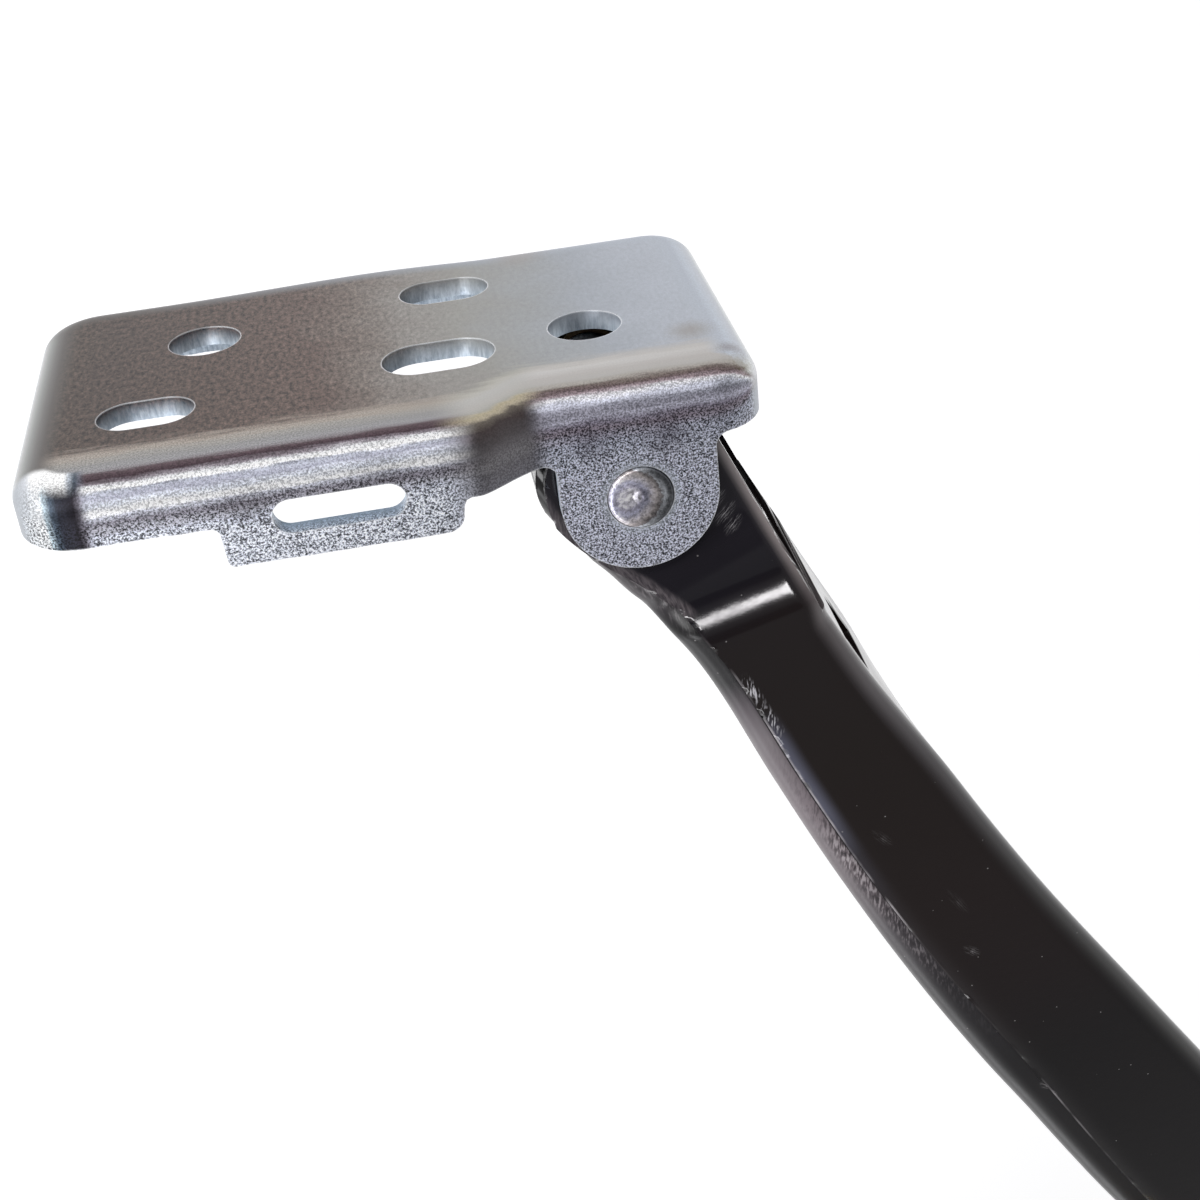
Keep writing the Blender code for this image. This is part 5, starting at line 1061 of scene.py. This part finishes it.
# tool rings 0.25 mm apart, drawn as a pattern that is long round the pin and short along it
ring_vector = add(tree, "ShaderNodeVectorMath", {"operation": "MULTIPLY"}, {0: mm.outputs["Vector"], 1: (0.25, 0.9, 4.0)})
tool_rings = add(tree, "ShaderNodeTexNoise", inputs={"Vector": ring_vector.outputs["Vector"], "Scale": 1.0, "Detail": 2.0})
film = add(tree, "ShaderNodeTexNoise", inputs={"Vector": mm.outputs["Vector"], "Scale": 0.3, "Detail": 4.0})
film_tone = add(tree, "ShaderNodeValToRGB", inputs={"Fac": film.outputs["Fac"]}, stops=[
    (0.3, "#8f8c88"), (0.5, "#adadae"), (0.7, "#babdc1")])
ring_lift = add(tree, "ShaderNodeMapRange", inputs={"Value": tool_rings.outputs["Fac"], "From Min": 0.3, "From Max": 0.7,
                                                    "To Min": 0.85, "To Max": 1.12})
steel_tone = add(tree, "ShaderNodeVectorMath", {"operation": "SCALE"},
                 {0: film_tone.outputs[0], "Scale": ring_lift.outputs[0]})
steel_rough = add(tree, "ShaderNodeMapRange", inputs={"Value": tool_rings.outputs["Fac"], "To Min": 0.22, "To Max": 0.42})
steel_bump = add(tree, "ShaderNodeBump", inputs={"Strength": 0.25, "Distance": 0.00006,
                                                 "Height": tool_rings.outputs["Fac"]})
surface = add(tree, "ShaderNodeBsdfPrincipled", inputs={
    "Base Color": steel_tone.outputs["Vector"], "Metallic": 0.95, "Roughness": steel_rough.outputs[0],
    "Normal": steel_bump.outputs["Normal"]})
add(tree, "ShaderNodeOutputMaterial", inputs={"Surface": surface.outputs[0]})


def collar(r0, r1, low, high, c=0.2):
    """Plain ring with broken edges."""
    return [(r0 + c, low), (r1 - c, low), (r1 - 0.3 * c, low + 0.3 * c), (r1, low + c), (r1, high - c),
            (r1 - 0.3 * c, high - 0.3 * c), (r1 - c, high), (r0 + c, high), (r0, high - c), (r0, low + c)]


WASHER_TOP = tip_face - FLANGE - 2 * GAP
GROOVE_TOP = WASHER_TOP - 1.5 - GAP
GROOVE_LOW = GROOVE_TOP - 1.2 - 2 * GAP
PIN_END = GROOVE_LOW - 2.0
GROOVE_R = SWIVEL_R - 1.0
HEAD_LOW = PLATE_TOP + GAP
r = SWIVEL_R
swivel_profile = [(0.0, PIN_END), (r - 0.7, PIN_END), (r - 0.5, PIN_END + 0.1), (r, PIN_END + 0.6), (r, GROOVE_LOW - 0.1),
                  (r - 0.1, GROOVE_LOW), (GROOVE_R, GROOVE_LOW), (GROOVE_R, GROOVE_TOP), (r - 0.1, GROOVE_TOP),
                  (r, GROOVE_TOP + 0.1), (r, HEAD_LOW), (6.8, HEAD_LOW), (7.0, HEAD_LOW + 0.2), (7.0, HEAD_LOW + 0.55),
                  (6.8, HEAD_LOW + 0.85), (6.3, HEAD_LOW + 1.2), (5.6, HEAD_LOW + 1.55), (4.6, HEAD_LOW + 1.82),
                  (3.4, HEAD_LOW + 1.98), (2.2, HEAD_LOW + 2.06), (1.6, HEAD_LOW + 1.9), (1.0, HEAD_LOW + 1.62),
                  (0.0, HEAD_LOW + 1.5)]
made_piece("turned_swivel_pin", turned(swivel_profile, SWIVEL), [], 0.0, turned_steel, "carriage", ["swivel_pin"])
made_piece("stamped_washer", turned(collar(SWIVEL_R + GAP, 8.6, WASHER_TOP - 1.5, WASHER_TOP), SWIVEL), [], 0.0,
           turned_steel, "carriage", ["swivel_washer"])

LOAD_CENTRE = Vector((sx, sy + LOAD_Y, LOAD_Z))
tongue_out = TONGUE_Y - LOAD_Y
tongue_in = tongue_out + SHEET
HALF_RACE = 4.0
head_r = AXLE_R + 2.4
outer_face = tongue_out - GAP
tip = HALF_RACE + GAP
axle_profile = [(0.0, outer_face - 2.0), (0.3 * head_r, outer_face - 1.98), (0.55 * head_r, outer_face - 1.86),
                (0.75 * head_r, outer_face - 1.6), (0.9 * head_r, outer_face - 1.15), (0.98 * head_r, outer_face - 0.65),
                (head_r, outer_face - 0.3), (head_r - 0.1, outer_face), (AXLE_R, outer_face), (AXLE_R, tip),
                (0.94 * head_r, tip), (0.95 * head_r, tip + 0.3), (0.93 * head_r, tip + 1.1), (0.84 * head_r, tip + 1.5),
                (0.6 * head_r, tip + 1.9), (0.3 * head_r, tip + 1.98), (0.15 * head_r, tip + 1.75), (0.0, tip + 1.65)]
made_piece("riveted_load_axle", turned(axle_profile, LOAD_CENTRE, "y"), [], 0.0, turned_steel, "carriage", ["load_axle"])
made_piece("turned_load_spacer",
           turned(collar(AXLE_R + GAP, RACE_IN_R, tongue_in + GAP, -HALF_RACE - GAP), LOAD_CENTRE, "y"), [], 0.0,
           turned_steel, "carriage", ["load_spacer"])

STUD_TOP = 1.0 + GAP + 9.0
GUIDE_CENTRES = {"left": Vector((sx - GUIDE_X, sy + GUIDE_Y, PLATE_TOP)),
                 "right": Vector((sx + GUIDE_X, sy + GUIDE_Y, PLATE_TOP))}
r = GUIDE_AXLE_R
below = -SHEET - GAP
stud_profile = [(0.0, below - 1.6), (0.7 * r, below - 1.58), (1.2 * r, below - 1.35), (1.5 * r, below - 0.95),
                (1.6 * r, below - 0.5), (1.6 * r, below - 0.1), (1.55 * r, below), (r, below), (r, STUD_TOP + GAP),
                (1.95 * r, STUD_TOP + GAP), (2.0 * r, STUD_TOP + GAP + 0.15), (2.0 * r, STUD_TOP + 1.2),
                (1.85 * r, STUD_TOP + 1.6), (1.3 * r, STUD_TOP + 1.9), (0.6 * r, STUD_TOP + 1.98), (0.35 * r, STUD_TOP + 1.7),
                (0.0, STUD_TOP + 1.6)]
for tag, centre in GUIDE_CENTRES.items():
    made_piece("riveted_guide_stud_" + tag, turned(stud_profile, centre), [], 0.0, turned_steel, "carriage",
               ["guide_stud_" + tag])
    made_piece("turned_guide_sleeve_" + tag, turned(collar(r + GAP, 4.4, GAP, STUD_TOP), centre), [], 0.0, turned_steel,
               "carriage", ["guide_sleeve_" + tag])

# ---- Spring clip ----------------------------------------------------------
# Open ring that snaps into the swivel pin's groove: spring steel, blanked, hardened and oil blacked.

oiled_spring = bpy.data.materials.new("oil_blacked_spring_steel")
oiled_spring.use_nodes = True
tree = oiled_spring.node_tree
tree.nodes.clear()
coord = add(tree, "ShaderNodeTexCoord")
scale_film = add(tree, "ShaderNodeTexNoise", inputs={"Vector": coord.outputs["Object"], "Scale": 900.0, "Detail": 4.0})
spring_tone = add(tree, "ShaderNodeValToRGB", inputs={"Fac": scale_film.outputs["Fac"]}, stops=[
    (0.3, "#1d1f24"), (0.5, "#33363b"), (0.66, "#5a5650"), (0.75, "#7b7770")])
spring_bump = add(tree, "ShaderNodeBump", inputs={"Strength": 0.2, "Distance": 0.0001,
                                                  "Height": scale_film.outputs["Fac"]})
surface = add(tree, "ShaderNodeBsdfPrincipled", inputs={
    "Base Color": spring_tone.outputs[0], "Metallic": 0.9, "Roughness": 0.38, "Normal": spring_bump.outputs["Normal"]})
add(tree, "ShaderNodeOutputMaterial", inputs={"Surface": surface.outputs[0]})
clip_outline = arc(sx, sy, 7.4, math.radians(50), math.radians(310), 60)
clip_outline += arc(sx, sy, GROOVE_R + GAP, math.radians(318), math.radians(42), 48)
made_piece("blanked_spring_clip", prism(clip_outline, "z", GROOVE_LOW + GAP, GROOVE_TOP - GAP), [], 0.15, oiled_spring,
           "carriage", ["swivel_clip"])

# ---- Bearing rings --------------------------------------------------------
# Through hardened bearing steel, ground all over: close to a mirror, with a very fine grinding lay and grooves
# for the balls. The guide rollers turn on plain rings of the same steel.

ground_steel = bpy.data.materials.new("ground_bearing_steel")
ground_steel.use_nodes = True
tree = ground_steel.node_tree
tree.nodes.clear()
coord = add(tree, "ShaderNodeTexCoord")
# the real lay is a few hundredths wide; it is drawn 0.3 mm wide so that it shows
lay_vector = add(tree, "ShaderNodeVectorMath", {"operation": "MULTIPLY"}, {0: coord.outputs["Object"], 1: (400.0, 3300.0, 900.0)})
lay = add(tree, "ShaderNodeTexNoise", inputs={"Vector": lay_vector.outputs["Vector"], "Scale": 1.0, "Detail": 2.0})
lay_tone = add(tree, "ShaderNodeMix", {"data_type": "RGBA"},
               {"Factor": lay.outputs["Fac"], 6: linear("#b3b6ba"), 7: linear("#d3d5d8")})
lay_rough = add(tree, "ShaderNodeMapRange", inputs={"Value": lay.outputs["Fac"], "To Min": 0.12, "To Max": 0.28})
surface = add(tree, "ShaderNodeBsdfPrincipled", inputs={
    "Base Color": lay_tone.outputs[2], "Metallic": 1.0, "Roughness": lay_rough.outputs[0]})
add(tree, "ShaderNodeOutputMaterial", inputs={"Surface": surface.outputs[0]})

BALL_R = 0.1185 * LOAD_R
PITCH_R = 0.5 * (RACE_IN_R + RACE_OUT_R)
BALL_COUNT = 9


def race_profile(plain, bore, side):
    """Ring with a rolled groove; side is 1 for the outer ring and -1 for the inner one."""
    deep = BALL_R + 0.35
    groove = [(PITCH_R + side * deep * math.sin(a), -deep * math.cos(a)) for a in [math.pi * k / 24 for k in range(25)]]
    groove = [(rr, h) for rr, h in groove if side * (rr - plain) > 0.0]
    c = 0.25
    return ([(bore, -HALF_RACE + c), (bore + side * -c, -HALF_RACE), (plain + side * c, -HALF_RACE), (plain, -HALF_RACE + c)]
            + groove + [(plain, HALF_RACE - c), (plain + side * c, HALF_RACE), (bore + side * -c, HALF_RACE),
                        (bore, HALF_RACE - c)])


made_piece("ground_inner_race", turned(race_profile(RACE_IN_R + 0.9, AXLE_R + GAP, -1), LOAD_CENTRE, "y"), [], 0.0,
           ground_steel, "carriage", ["load_race_inner"])
made_piece("ground_outer_race", turned(race_profile(RACE_OUT_R - 0.9, RACE_OUT_R + 0.2, 1), LOAD_CENTRE, "y"), [], 0.0,
           ground_steel, "load_roller", ["load_race_outer"])
for tag, centre in GUIDE_CENTRES.items():
    made_piece("ground_guide_ring_" + tag, turned(collar(4.4 + GAP, 6.6, 1.0 + GAP, STUD_TOP - 0.4), centre), [], 0.0,
               ground_steel, "guide_roller_" + tag, ["guide_race_" + tag])

# ---- Ball cage and balls --------------------------------------------------
# Nine ground balls held apart by a band stamped from thin steel sheet, with a round pocket for each. They
# creep round the bearing at a little over half the roller's speed.

stamped_steel = bpy.data.materials.new("stamped_cage_steel")
stamped_steel.use_nodes = True
tree = stamped_steel.node_tree
tree.nodes.clear()
coord = add(tree, "ShaderNodeTexCoord")
draw_lines = add(tree, "ShaderNodeTexNoise", inputs={"Vector": coord.outputs["Object"], "Scale": 1500.0, "Detail": 3.0})
cage_tone = add(tree, "ShaderNodeValToRGB", inputs={"Fac": draw_lines.outputs["Fac"]}, stops=[
    (0.3, "#6f7276"), (0.5, "#8b8f94"), (0.7, "#a3a6a9")])
cage_bump = add(tree, "ShaderNodeBump", inputs={"Strength": 0.2, "Distance": 0.00005,
                                                "Height": draw_lines.outputs["Fac"]})
surface = add(tree, "ShaderNodeBsdfPrincipled", inputs={
    "Base Color": cage_tone.outputs[0], "Metallic": 0.95, "Roughness": 0.34, "Normal": cage_bump.outputs["Normal"]})
add(tree, "ShaderNodeOutputMaterial", inputs={"Surface": surface.outputs[0]})

pockets = bmesh.new()
for k in range(BALL_COUNT):
    a = 2 * math.pi * k / BALL_COUNT
    spot = LOAD_CENTRE + Vector((PITCH_R * math.cos(a), 0.0, PITCH_R * math.sin(a)))
    bmesh.ops.create_uvsphere(pockets, u_segments=24, v_segments=14, radius=BALL_R + 0.12,
                              matrix=Matrix.Translation(spot))
made_piece("stamped_ball_cage", turned(collar(PITCH_R - 0.45, PITCH_R + 0.45, -3.1, 3.1, 0.1), LOAD_CENTRE, "y", 96),
           [pockets], 0.0, stamped_steel, "ball_cage", ["load_ball_cage"])

ball_ring = bpy.data.node_groups.new("balls_on_a_pitch_circle", "GeometryNodeTree")
ball_ring.interface.new_socket("Geometry", in_out="INPUT", socket_type="NodeSocketGeometry")
ball_sizes = {}
for label, kind, value in (("Ball count", "NodeSocketInt", BALL_COUNT), ("Pitch radius", "NodeSocketFloat", PITCH_R * 0.001),
                           ("Ball radius", "NodeSocketFloat", BALL_R * 0.001)):
    socket = ball_ring.interface.new_socket(label, in_out="INPUT", socket_type=kind)
    ball_sizes[socket.identifier] = value
place_socket = ball_ring.interface.new_socket("Centre", in_out="INPUT", socket_type="NodeSocketVector")
ball_sizes[place_socket.identifier] = tuple(0.001 * v for v in LOAD_CENTRE)
ball_ring.interface.new_socket("Geometry", in_out="OUTPUT", socket_type="NodeSocketGeometry")
sizes = add(ball_ring, "NodeGroupInput")
pitch_circle = add(ball_ring, "GeometryNodeMeshCircle", inputs={"Vertices": sizes.outputs["Ball count"],
                                                                "Radius": sizes.outputs["Pitch radius"]})
laid = add(ball_ring, "GeometryNodeTransform", inputs={
    "Geometry": pitch_circle.outputs[0], "Translation": sizes.outputs["Centre"], "Rotation": (math.pi / 2, 0.0, 0.0)})
one_ball = add(ball_ring, "GeometryNodeMeshUVSphere", inputs={"Segments": 28, "Rings": 16,
                                                              "Radius": sizes.outputs["Ball radius"]})
set_balls = add(ball_ring, "GeometryNodeInstanceOnPoints", inputs={"Points": laid.outputs[0],
                                                                   "Instance": one_ball.outputs[0]})
real_balls = add(ball_ring, "GeometryNodeRealizeInstances", inputs={"Geometry": set_balls.outputs[0]})
smooth_balls = add(ball_ring, "GeometryNodeSetShadeSmooth", inputs={0: real_balls.outputs[0]})
steel_balls = add(ball_ring, "GeometryNodeSetMaterial", inputs={"Geometry": smooth_balls.outputs[0],
                                                                "Material": ground_steel})
add(ball_ring, "NodeGroupOutput", inputs={0: steel_balls.outputs[0]})
ball_blank = bpy.data.objects.new("balls.blank", bpy.data.meshes.new("balls.blank"))
bpy.context.scene.collection.objects.link(ball_blank)
maker = ball_blank.modifiers.new("balls", "NODES")
maker.node_group = ball_ring
for identifier, value in ball_sizes.items():
    maker[identifier] = value
bpy.context.view_layer.update()
graph = bpy.context.evaluated_depsgraph_get()
ball_mesh = bpy.data.meshes.new_from_object(ball_blank.evaluated_get(graph), depsgraph=graph)
bpy.data.objects.remove(ball_blank)
balls = bpy.data.objects.new("ground_balls", ball_mesh)
bpy.context.scene.collection.objects.link(balls)
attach(balls, "ball_cage")

# ---- Load roller tyre -----------------------------------------------------
# Black glass filled nylon moulded straight onto the outer race: satin, slightly grey where the rail polishes
# the tread, with the moulding's fine sparkle in its faces.

black_nylon = bpy.data.materials.new("moulded_black_nylon")
black_nylon.use_nodes = True
tree = black_nylon.node_tree
tree.nodes.clear()
coord = add(tree, "ShaderNodeTexCoord")
mm = add(tree, "ShaderNodeVectorMath", {"operation": "SCALE"}, {0: coord.outputs["Object"], "Scale": 1000.0})
fibre = add(tree, "ShaderNodeTexNoise", inputs={"Vector": mm.outputs["Vector"], "Scale": 2.6, "Detail": 4.0,
                                                "Roughness": 0.7})
from_axle = add(tree, "ShaderNodeVectorMath", {"operation": "SUBTRACT"}, {0: mm.outputs["Vector"], 1: LOAD_CENTRE})
radial = add(tree, "ShaderNodeVectorMath", {"operation": "MULTIPLY"}, {0: from_axle.outputs["Vector"], 1: (1.0, 0.0, 1.0)})
radius = add(tree, "ShaderNodeVectorMath", {"operation": "LENGTH"}, {0: radial.outputs["Vector"]})
tread = add(tree, "ShaderNodeMapRange", {"interpolation_type": "SMOOTHSTEP"},
            {"Value": radius.outputs["Value"], "From Min": LOAD_R - 0.35, "From Max": LOAD_R - 0.05})
nylon_tone = add(tree, "ShaderNodeValToRGB", inputs={"Fac": fibre.outputs["Fac"]}, stops=[
    (0.32, "#161617"), (0.5, "#1e1e1f"), (0.68, "#2b2b2c")])
polished = add(tree, "ShaderNodeMix", {"data_type": "RGBA"},
               {"Factor": tread.outputs[0], 6: nylon_tone.outputs[0], 7: linear("#353434")})
nylon_rough = add(tree, "ShaderNodeMapRange", inputs={"Value": tread.outputs[0], "To Min": 0.52, "To Max": 0.33})
nylon_bump = add(tree, "ShaderNodeBump", inputs={"Strength": 0.3, "Distance": 0.0001, "Height": fibre.outputs["Fac"]})
surface = add(tree, "ShaderNodeBsdfPrincipled", inputs={
    "Base Color": polished.outputs[2], "Roughness": nylon_rough.outputs[0], "Normal": nylon_bump.outputs["Normal"]})
add(tree, "ShaderNodeOutputMaterial", inputs={"Surface": surface.outputs[0]})

HALF_TYRE = 6.0
seat = RACE_OUT_R + 0.2 + GAP
lip = HALF_RACE + GAP
half_tyre = [(seat, lip), (seat - 1.0, lip + 0.02), (seat - 1.1, lip + 0.15), (seat - 1.1, HALF_TYRE - 0.3),
             (seat - 1.0, HALF_TYRE - 0.08), (seat - 0.8, HALF_TYRE), (seat + 0.35, HALF_TYRE), (seat + 0.55, HALF_TYRE - 0.35),
             (seat + 1.25, HALF_TYRE - 0.35), (seat + 1.45, HALF_TYRE), (LOAD_R - 1.3, HALF_TYRE),
             (LOAD_R - 0.85, HALF_TYRE - 0.18), (LOAD_R - 0.45, HALF_TYRE - 0.55), (LOAD_R - 0.15, HALF_TYRE - 1.1),
             (LOAD_R - 0.03, HALF_TYRE - 1.6), (LOAD_R, HALF_TYRE - 2.2), (LOAD_R, 0.35), (LOAD_R - 0.06, 0.0)]
tyre_profile = [(rr, -h) for rr, h in half_tyre[:-1]] + [half_tyre[-1]] + half_tyre[:-1][::-1]
made_piece("moulded_load_tyre", turned(tyre_profile, LOAD_CENTRE, "y", 96), [], 0.0, black_nylon, "load_roller",
           ["load_tyre"])

# ---- Guide roller tyres ---------------------------------------------------
# Natural cream nylon, moulded, crowned so that they run in the rail's curve: slightly see-through at the rims,
# with grey rub marks round the crown.

cream_nylon = bpy.data.materials.new("moulded_natural_nylon")
cream_nylon.use_nodes = True
tree = cream_nylon.node_tree
tree.nodes.clear()
coord = add(tree, "ShaderNodeTexCoord")
mm = add(tree, "ShaderNodeVectorMath", {"operation": "SCALE"}, {0: coord.outputs["Object"], "Scale": 1000.0})
melt = add(tree, "ShaderNodeTexNoise", inputs={"Vector": mm.outputs["Vector"], "Scale": 0.35, "Detail": 4.0})
melt_tone = add(tree, "ShaderNodeValToRGB", inputs={"Fac": melt.outputs["Fac"]}, stops=[
    (0.3, "#bfb499"), (0.5, "#cdc4ad"), (0.7, "#d8d1bd")])
rub_vector = add(tree, "ShaderNodeVectorMath", {"operation": "MULTIPLY"}, {0: mm.outputs["Vector"], 1: (0.25, 0.25, 2.4)})
rub = add(tree, "ShaderNodeTexNoise", inputs={"Vector": rub_vector.outputs["Vector"], "Scale": 1.0, "Detail": 4.0})
height = add(tree, "ShaderNodeSeparateXYZ", inputs={0: mm.outputs["Vector"]})
crown_place = add(tree, "ShaderNodeMath", {"operation": "SUBTRACT"}, {0: height.outputs["Z"], 1: PLATE_TOP + 5.5})
crown_away = add(tree, "ShaderNodeMath", {"operation": "ABSOLUTE"}, {0: crown_place.outputs[0]})
crown = add(tree, "ShaderNodeMapRange", {"interpolation_type": "SMOOTHSTEP"},
            {"Value": crown_away.outputs[0], "From Min": 3.0, "From Max": 1.0})
rub_share = add(tree, "ShaderNodeMapRange", inputs={"Value": rub.outputs["Fac"], "From Min": 0.42, "From Max": 0.68,
                                                    "To Max": 0.6})
rubbed = add(tree, "ShaderNodeMath", {"operation": "MULTIPLY"}, {0: rub_share.outputs[0], 1: crown.outputs[0]})
cream_tone = add(tree, "ShaderNodeMix", {"data_type": "RGBA"},
                 {"Factor": rubbed.outputs[0], 6: melt_tone.outputs[0], 7: linear("#8d867c")})
cream_bump = add(tree, "ShaderNodeBump", inputs={"Strength": 0.15, "Distance": 0.0001, "Height": rub.outputs["Fac"]})
surface = add(tree, "ShaderNodeBsdfPrincipled", inputs={
    "Base Color": cream_tone.outputs[2], "Roughness": 0.42, "Subsurface Weight": 0.12, "Subsurface Scale": 0.001,
    "Normal": cream_bump.outputs["Normal"]})
add(tree, "ShaderNodeOutputMaterial", inputs={"Surface": surface.outputs[0]})

GUIDE_R = 10.0
ring_seat = 6.6 + GAP
tyre_low, tyre_top = 1.0 + GAP, STUD_TOP - 0.4
middle = 0.5 * (tyre_low + tyre_top)
reach = middle - tyre_low
half_guide = [(ring_seat, reach - 0.25), (ring_seat + 0.08, reach - 0.08), (ring_seat + 0.25, reach), (GUIDE_R - 1.2, reach),
              (GUIDE_R - 0.75, reach - 0.12), (GUIDE_R - 0.4, reach - 0.42), (GUIDE_R - 0.2, reach - 0.9),
              (GUIDE_R - 0.1, 0.5 * reach), (GUIDE_R - 0.02, 0.2 * reach), (GUIDE_R, 0.0)]
guide_profile = [(rr, middle - h) for rr, h in half_guide] + [(rr, middle + h) for rr, h in half_guide[:-1][::-1]]
for tag, centre in GUIDE_CENTRES.items():
    made_piece("moulded_guide_tyre_" + tag, turned(guide_profile, centre, "z", 96), [], 0.0, cream_nylon,
               "guide_roller_" + tag, ["guide_tyre_" + tag])

# ---- Floor, light and camera ----------------------------------------------
# Plain white studio table under the part and a pale room round it that darkens overhead. Four soft boxes: a small
# key that the arm's step mirrors, a broad fill at the upper left, a long low strip for the bracket's folds and the
# arm's lower edge, and one by the camera for the ear and the flange.

table_top = bmesh.new()
bmesh.ops.create_grid(table_top, x_segments=2, y_segments=2, size=4.0, matrix=Matrix.Translation((0.0, 0.0, -0.3)))
floor = loose_object("studio_table", table_top)
white_table = bpy.data.materials.new("white_studio_table")
white_table.use_nodes = True
tree = white_table.node_tree
tree.nodes.clear()
paths = add(tree, "ShaderNodeLightPath")
seen_a = add(tree, "ShaderNodeMath", {"operation": "MAXIMUM"},
             {0: paths.outputs["Is Camera Ray"], 1: paths.outputs["Is Glossy Ray"]})
seen = add(tree, "ShaderNodeMath", {"operation": "MAXIMUM"}, {0: seen_a.outputs[0], 1: paths.outputs["Is Transmission Ray"]})
lift = add(tree, "ShaderNodeMath", {"operation": "MULTIPLY"}, {0: seen.outputs[0], 1: 0.5})
matt = add(tree, "ShaderNodeBsdfDiffuse", inputs={"Color": (0.8, 0.8, 0.8, 1.0)})
glow = add(tree, "ShaderNodeEmission", inputs={"Color": (1.0, 1.0, 1.0, 1.0), "Strength": lift.outputs[0]})
table_shader = add(tree, "ShaderNodeAddShader", inputs={0: matt.outputs[0], 1: glow.outputs[0]})
add(tree, "ShaderNodeOutputMaterial", inputs={"Surface": table_shader.outputs[0]})
floor.data.materials.append(white_table)

room = bpy.data.worlds.new("pale_room")
bpy.context.scene.world = room
room.use_nodes = True
tree = room.node_tree
tree.nodes.clear()
coord = add(tree, "ShaderNodeTexCoord")
aim = add(tree, "ShaderNodeSeparateXYZ", inputs={0: coord.outputs["Generated"]})
room_height = add(tree, "ShaderNodeMapRange", inputs={"Value": aim.outputs["Z"], "From Min": -0.2, "From Max": 1.0})
room_tone = add(tree, "ShaderNodeValToRGB", inputs={"Fac": room_height.outputs[0]}, stops=[
    (0.0, "#e6e6e6"), (0.25, "#e6e6e6"), (0.5, "#bcbcbc"), (0.66, "#9a9a9c"), (0.8, "#7a7a7c"), (0.92, "#767678"),
    (0.97, "#3c3c3e"), (1.0, "#343436")])
back = add(tree, "ShaderNodeBackground", inputs={"Color": room_tone.outputs[0], "Strength": 1.0})
add(tree, "ShaderNodeOutputWorld", inputs={"Surface": back.outputs[0]})

aim_point = Vector((0.045, -0.03, 0.02))
for name, direction, distance, width, tall, radiance, tint in (
        ("key_softbox", (-0.079, 0.638, 0.766), 1.1, 0.30, 0.09, 28.0, (1.0, 0.98, 1.0)),
        ("fill_softbox", (-0.65, 0.35, 0.67), 1.1, 0.6, 0.6, 5.0, (1.0, 1.0, 1.0)),
        ("strip_softbox", (-0.35, -0.92, 0.12), 1.3, 1.2, 0.35, 1.2, (0.96, 0.97, 1.0)),
        ("front_softbox", (-0.40, -0.50, 0.77), 1.2, 0.5, 0.35, 6.0, (0.98, 0.98, 1.0))):
    lamp = bpy.data.lights.new(name, "AREA")
    lamp.shape = "RECTANGLE"
    lamp.size = width
    lamp.size_y = tall
    lamp.energy = radiance * math.pi * width * tall
    lamp.color = tint
    lamp_object = bpy.data.objects.new(name, lamp)
    out_to_lamp = Vector(direction).normalized()
    lamp_object.location = aim_point + distance * out_to_lamp
    lamp_object.rotation_mode = "QUATERNION"
    lamp_object.rotation_quaternion = out_to_lamp.to_track_quat("Z", "Y")
    lamp_object.visible_camera = False
    bpy.context.scene.collection.objects.link(lamp_object)

lens = bpy.data.cameras.new("photo_camera")
lens.sensor_width = 36.0
lens.lens = 57.728
lens.clip_start = 0.01
lens.clip_end = 20.0
camera = bpy.data.objects.new("photo_camera", lens)
right = Vector((0.9830178, -0.0959705, 0.1564151))
upward = Vector((0.1621300, 0.8534732, -0.4952748))
backward = Vector((-0.0859643, 0.5122235, 0.8545392))
camera.matrix_world = Matrix.Translation((0.010184407, 0.111435408, 0.274108679)) @ Matrix((right, upward, backward)).transposed().to_4x4()
bpy.context.scene.collection.objects.link(camera)
bpy.context.scene.camera = camera
bpy.context.scene.view_settings.view_transform = "Standard"
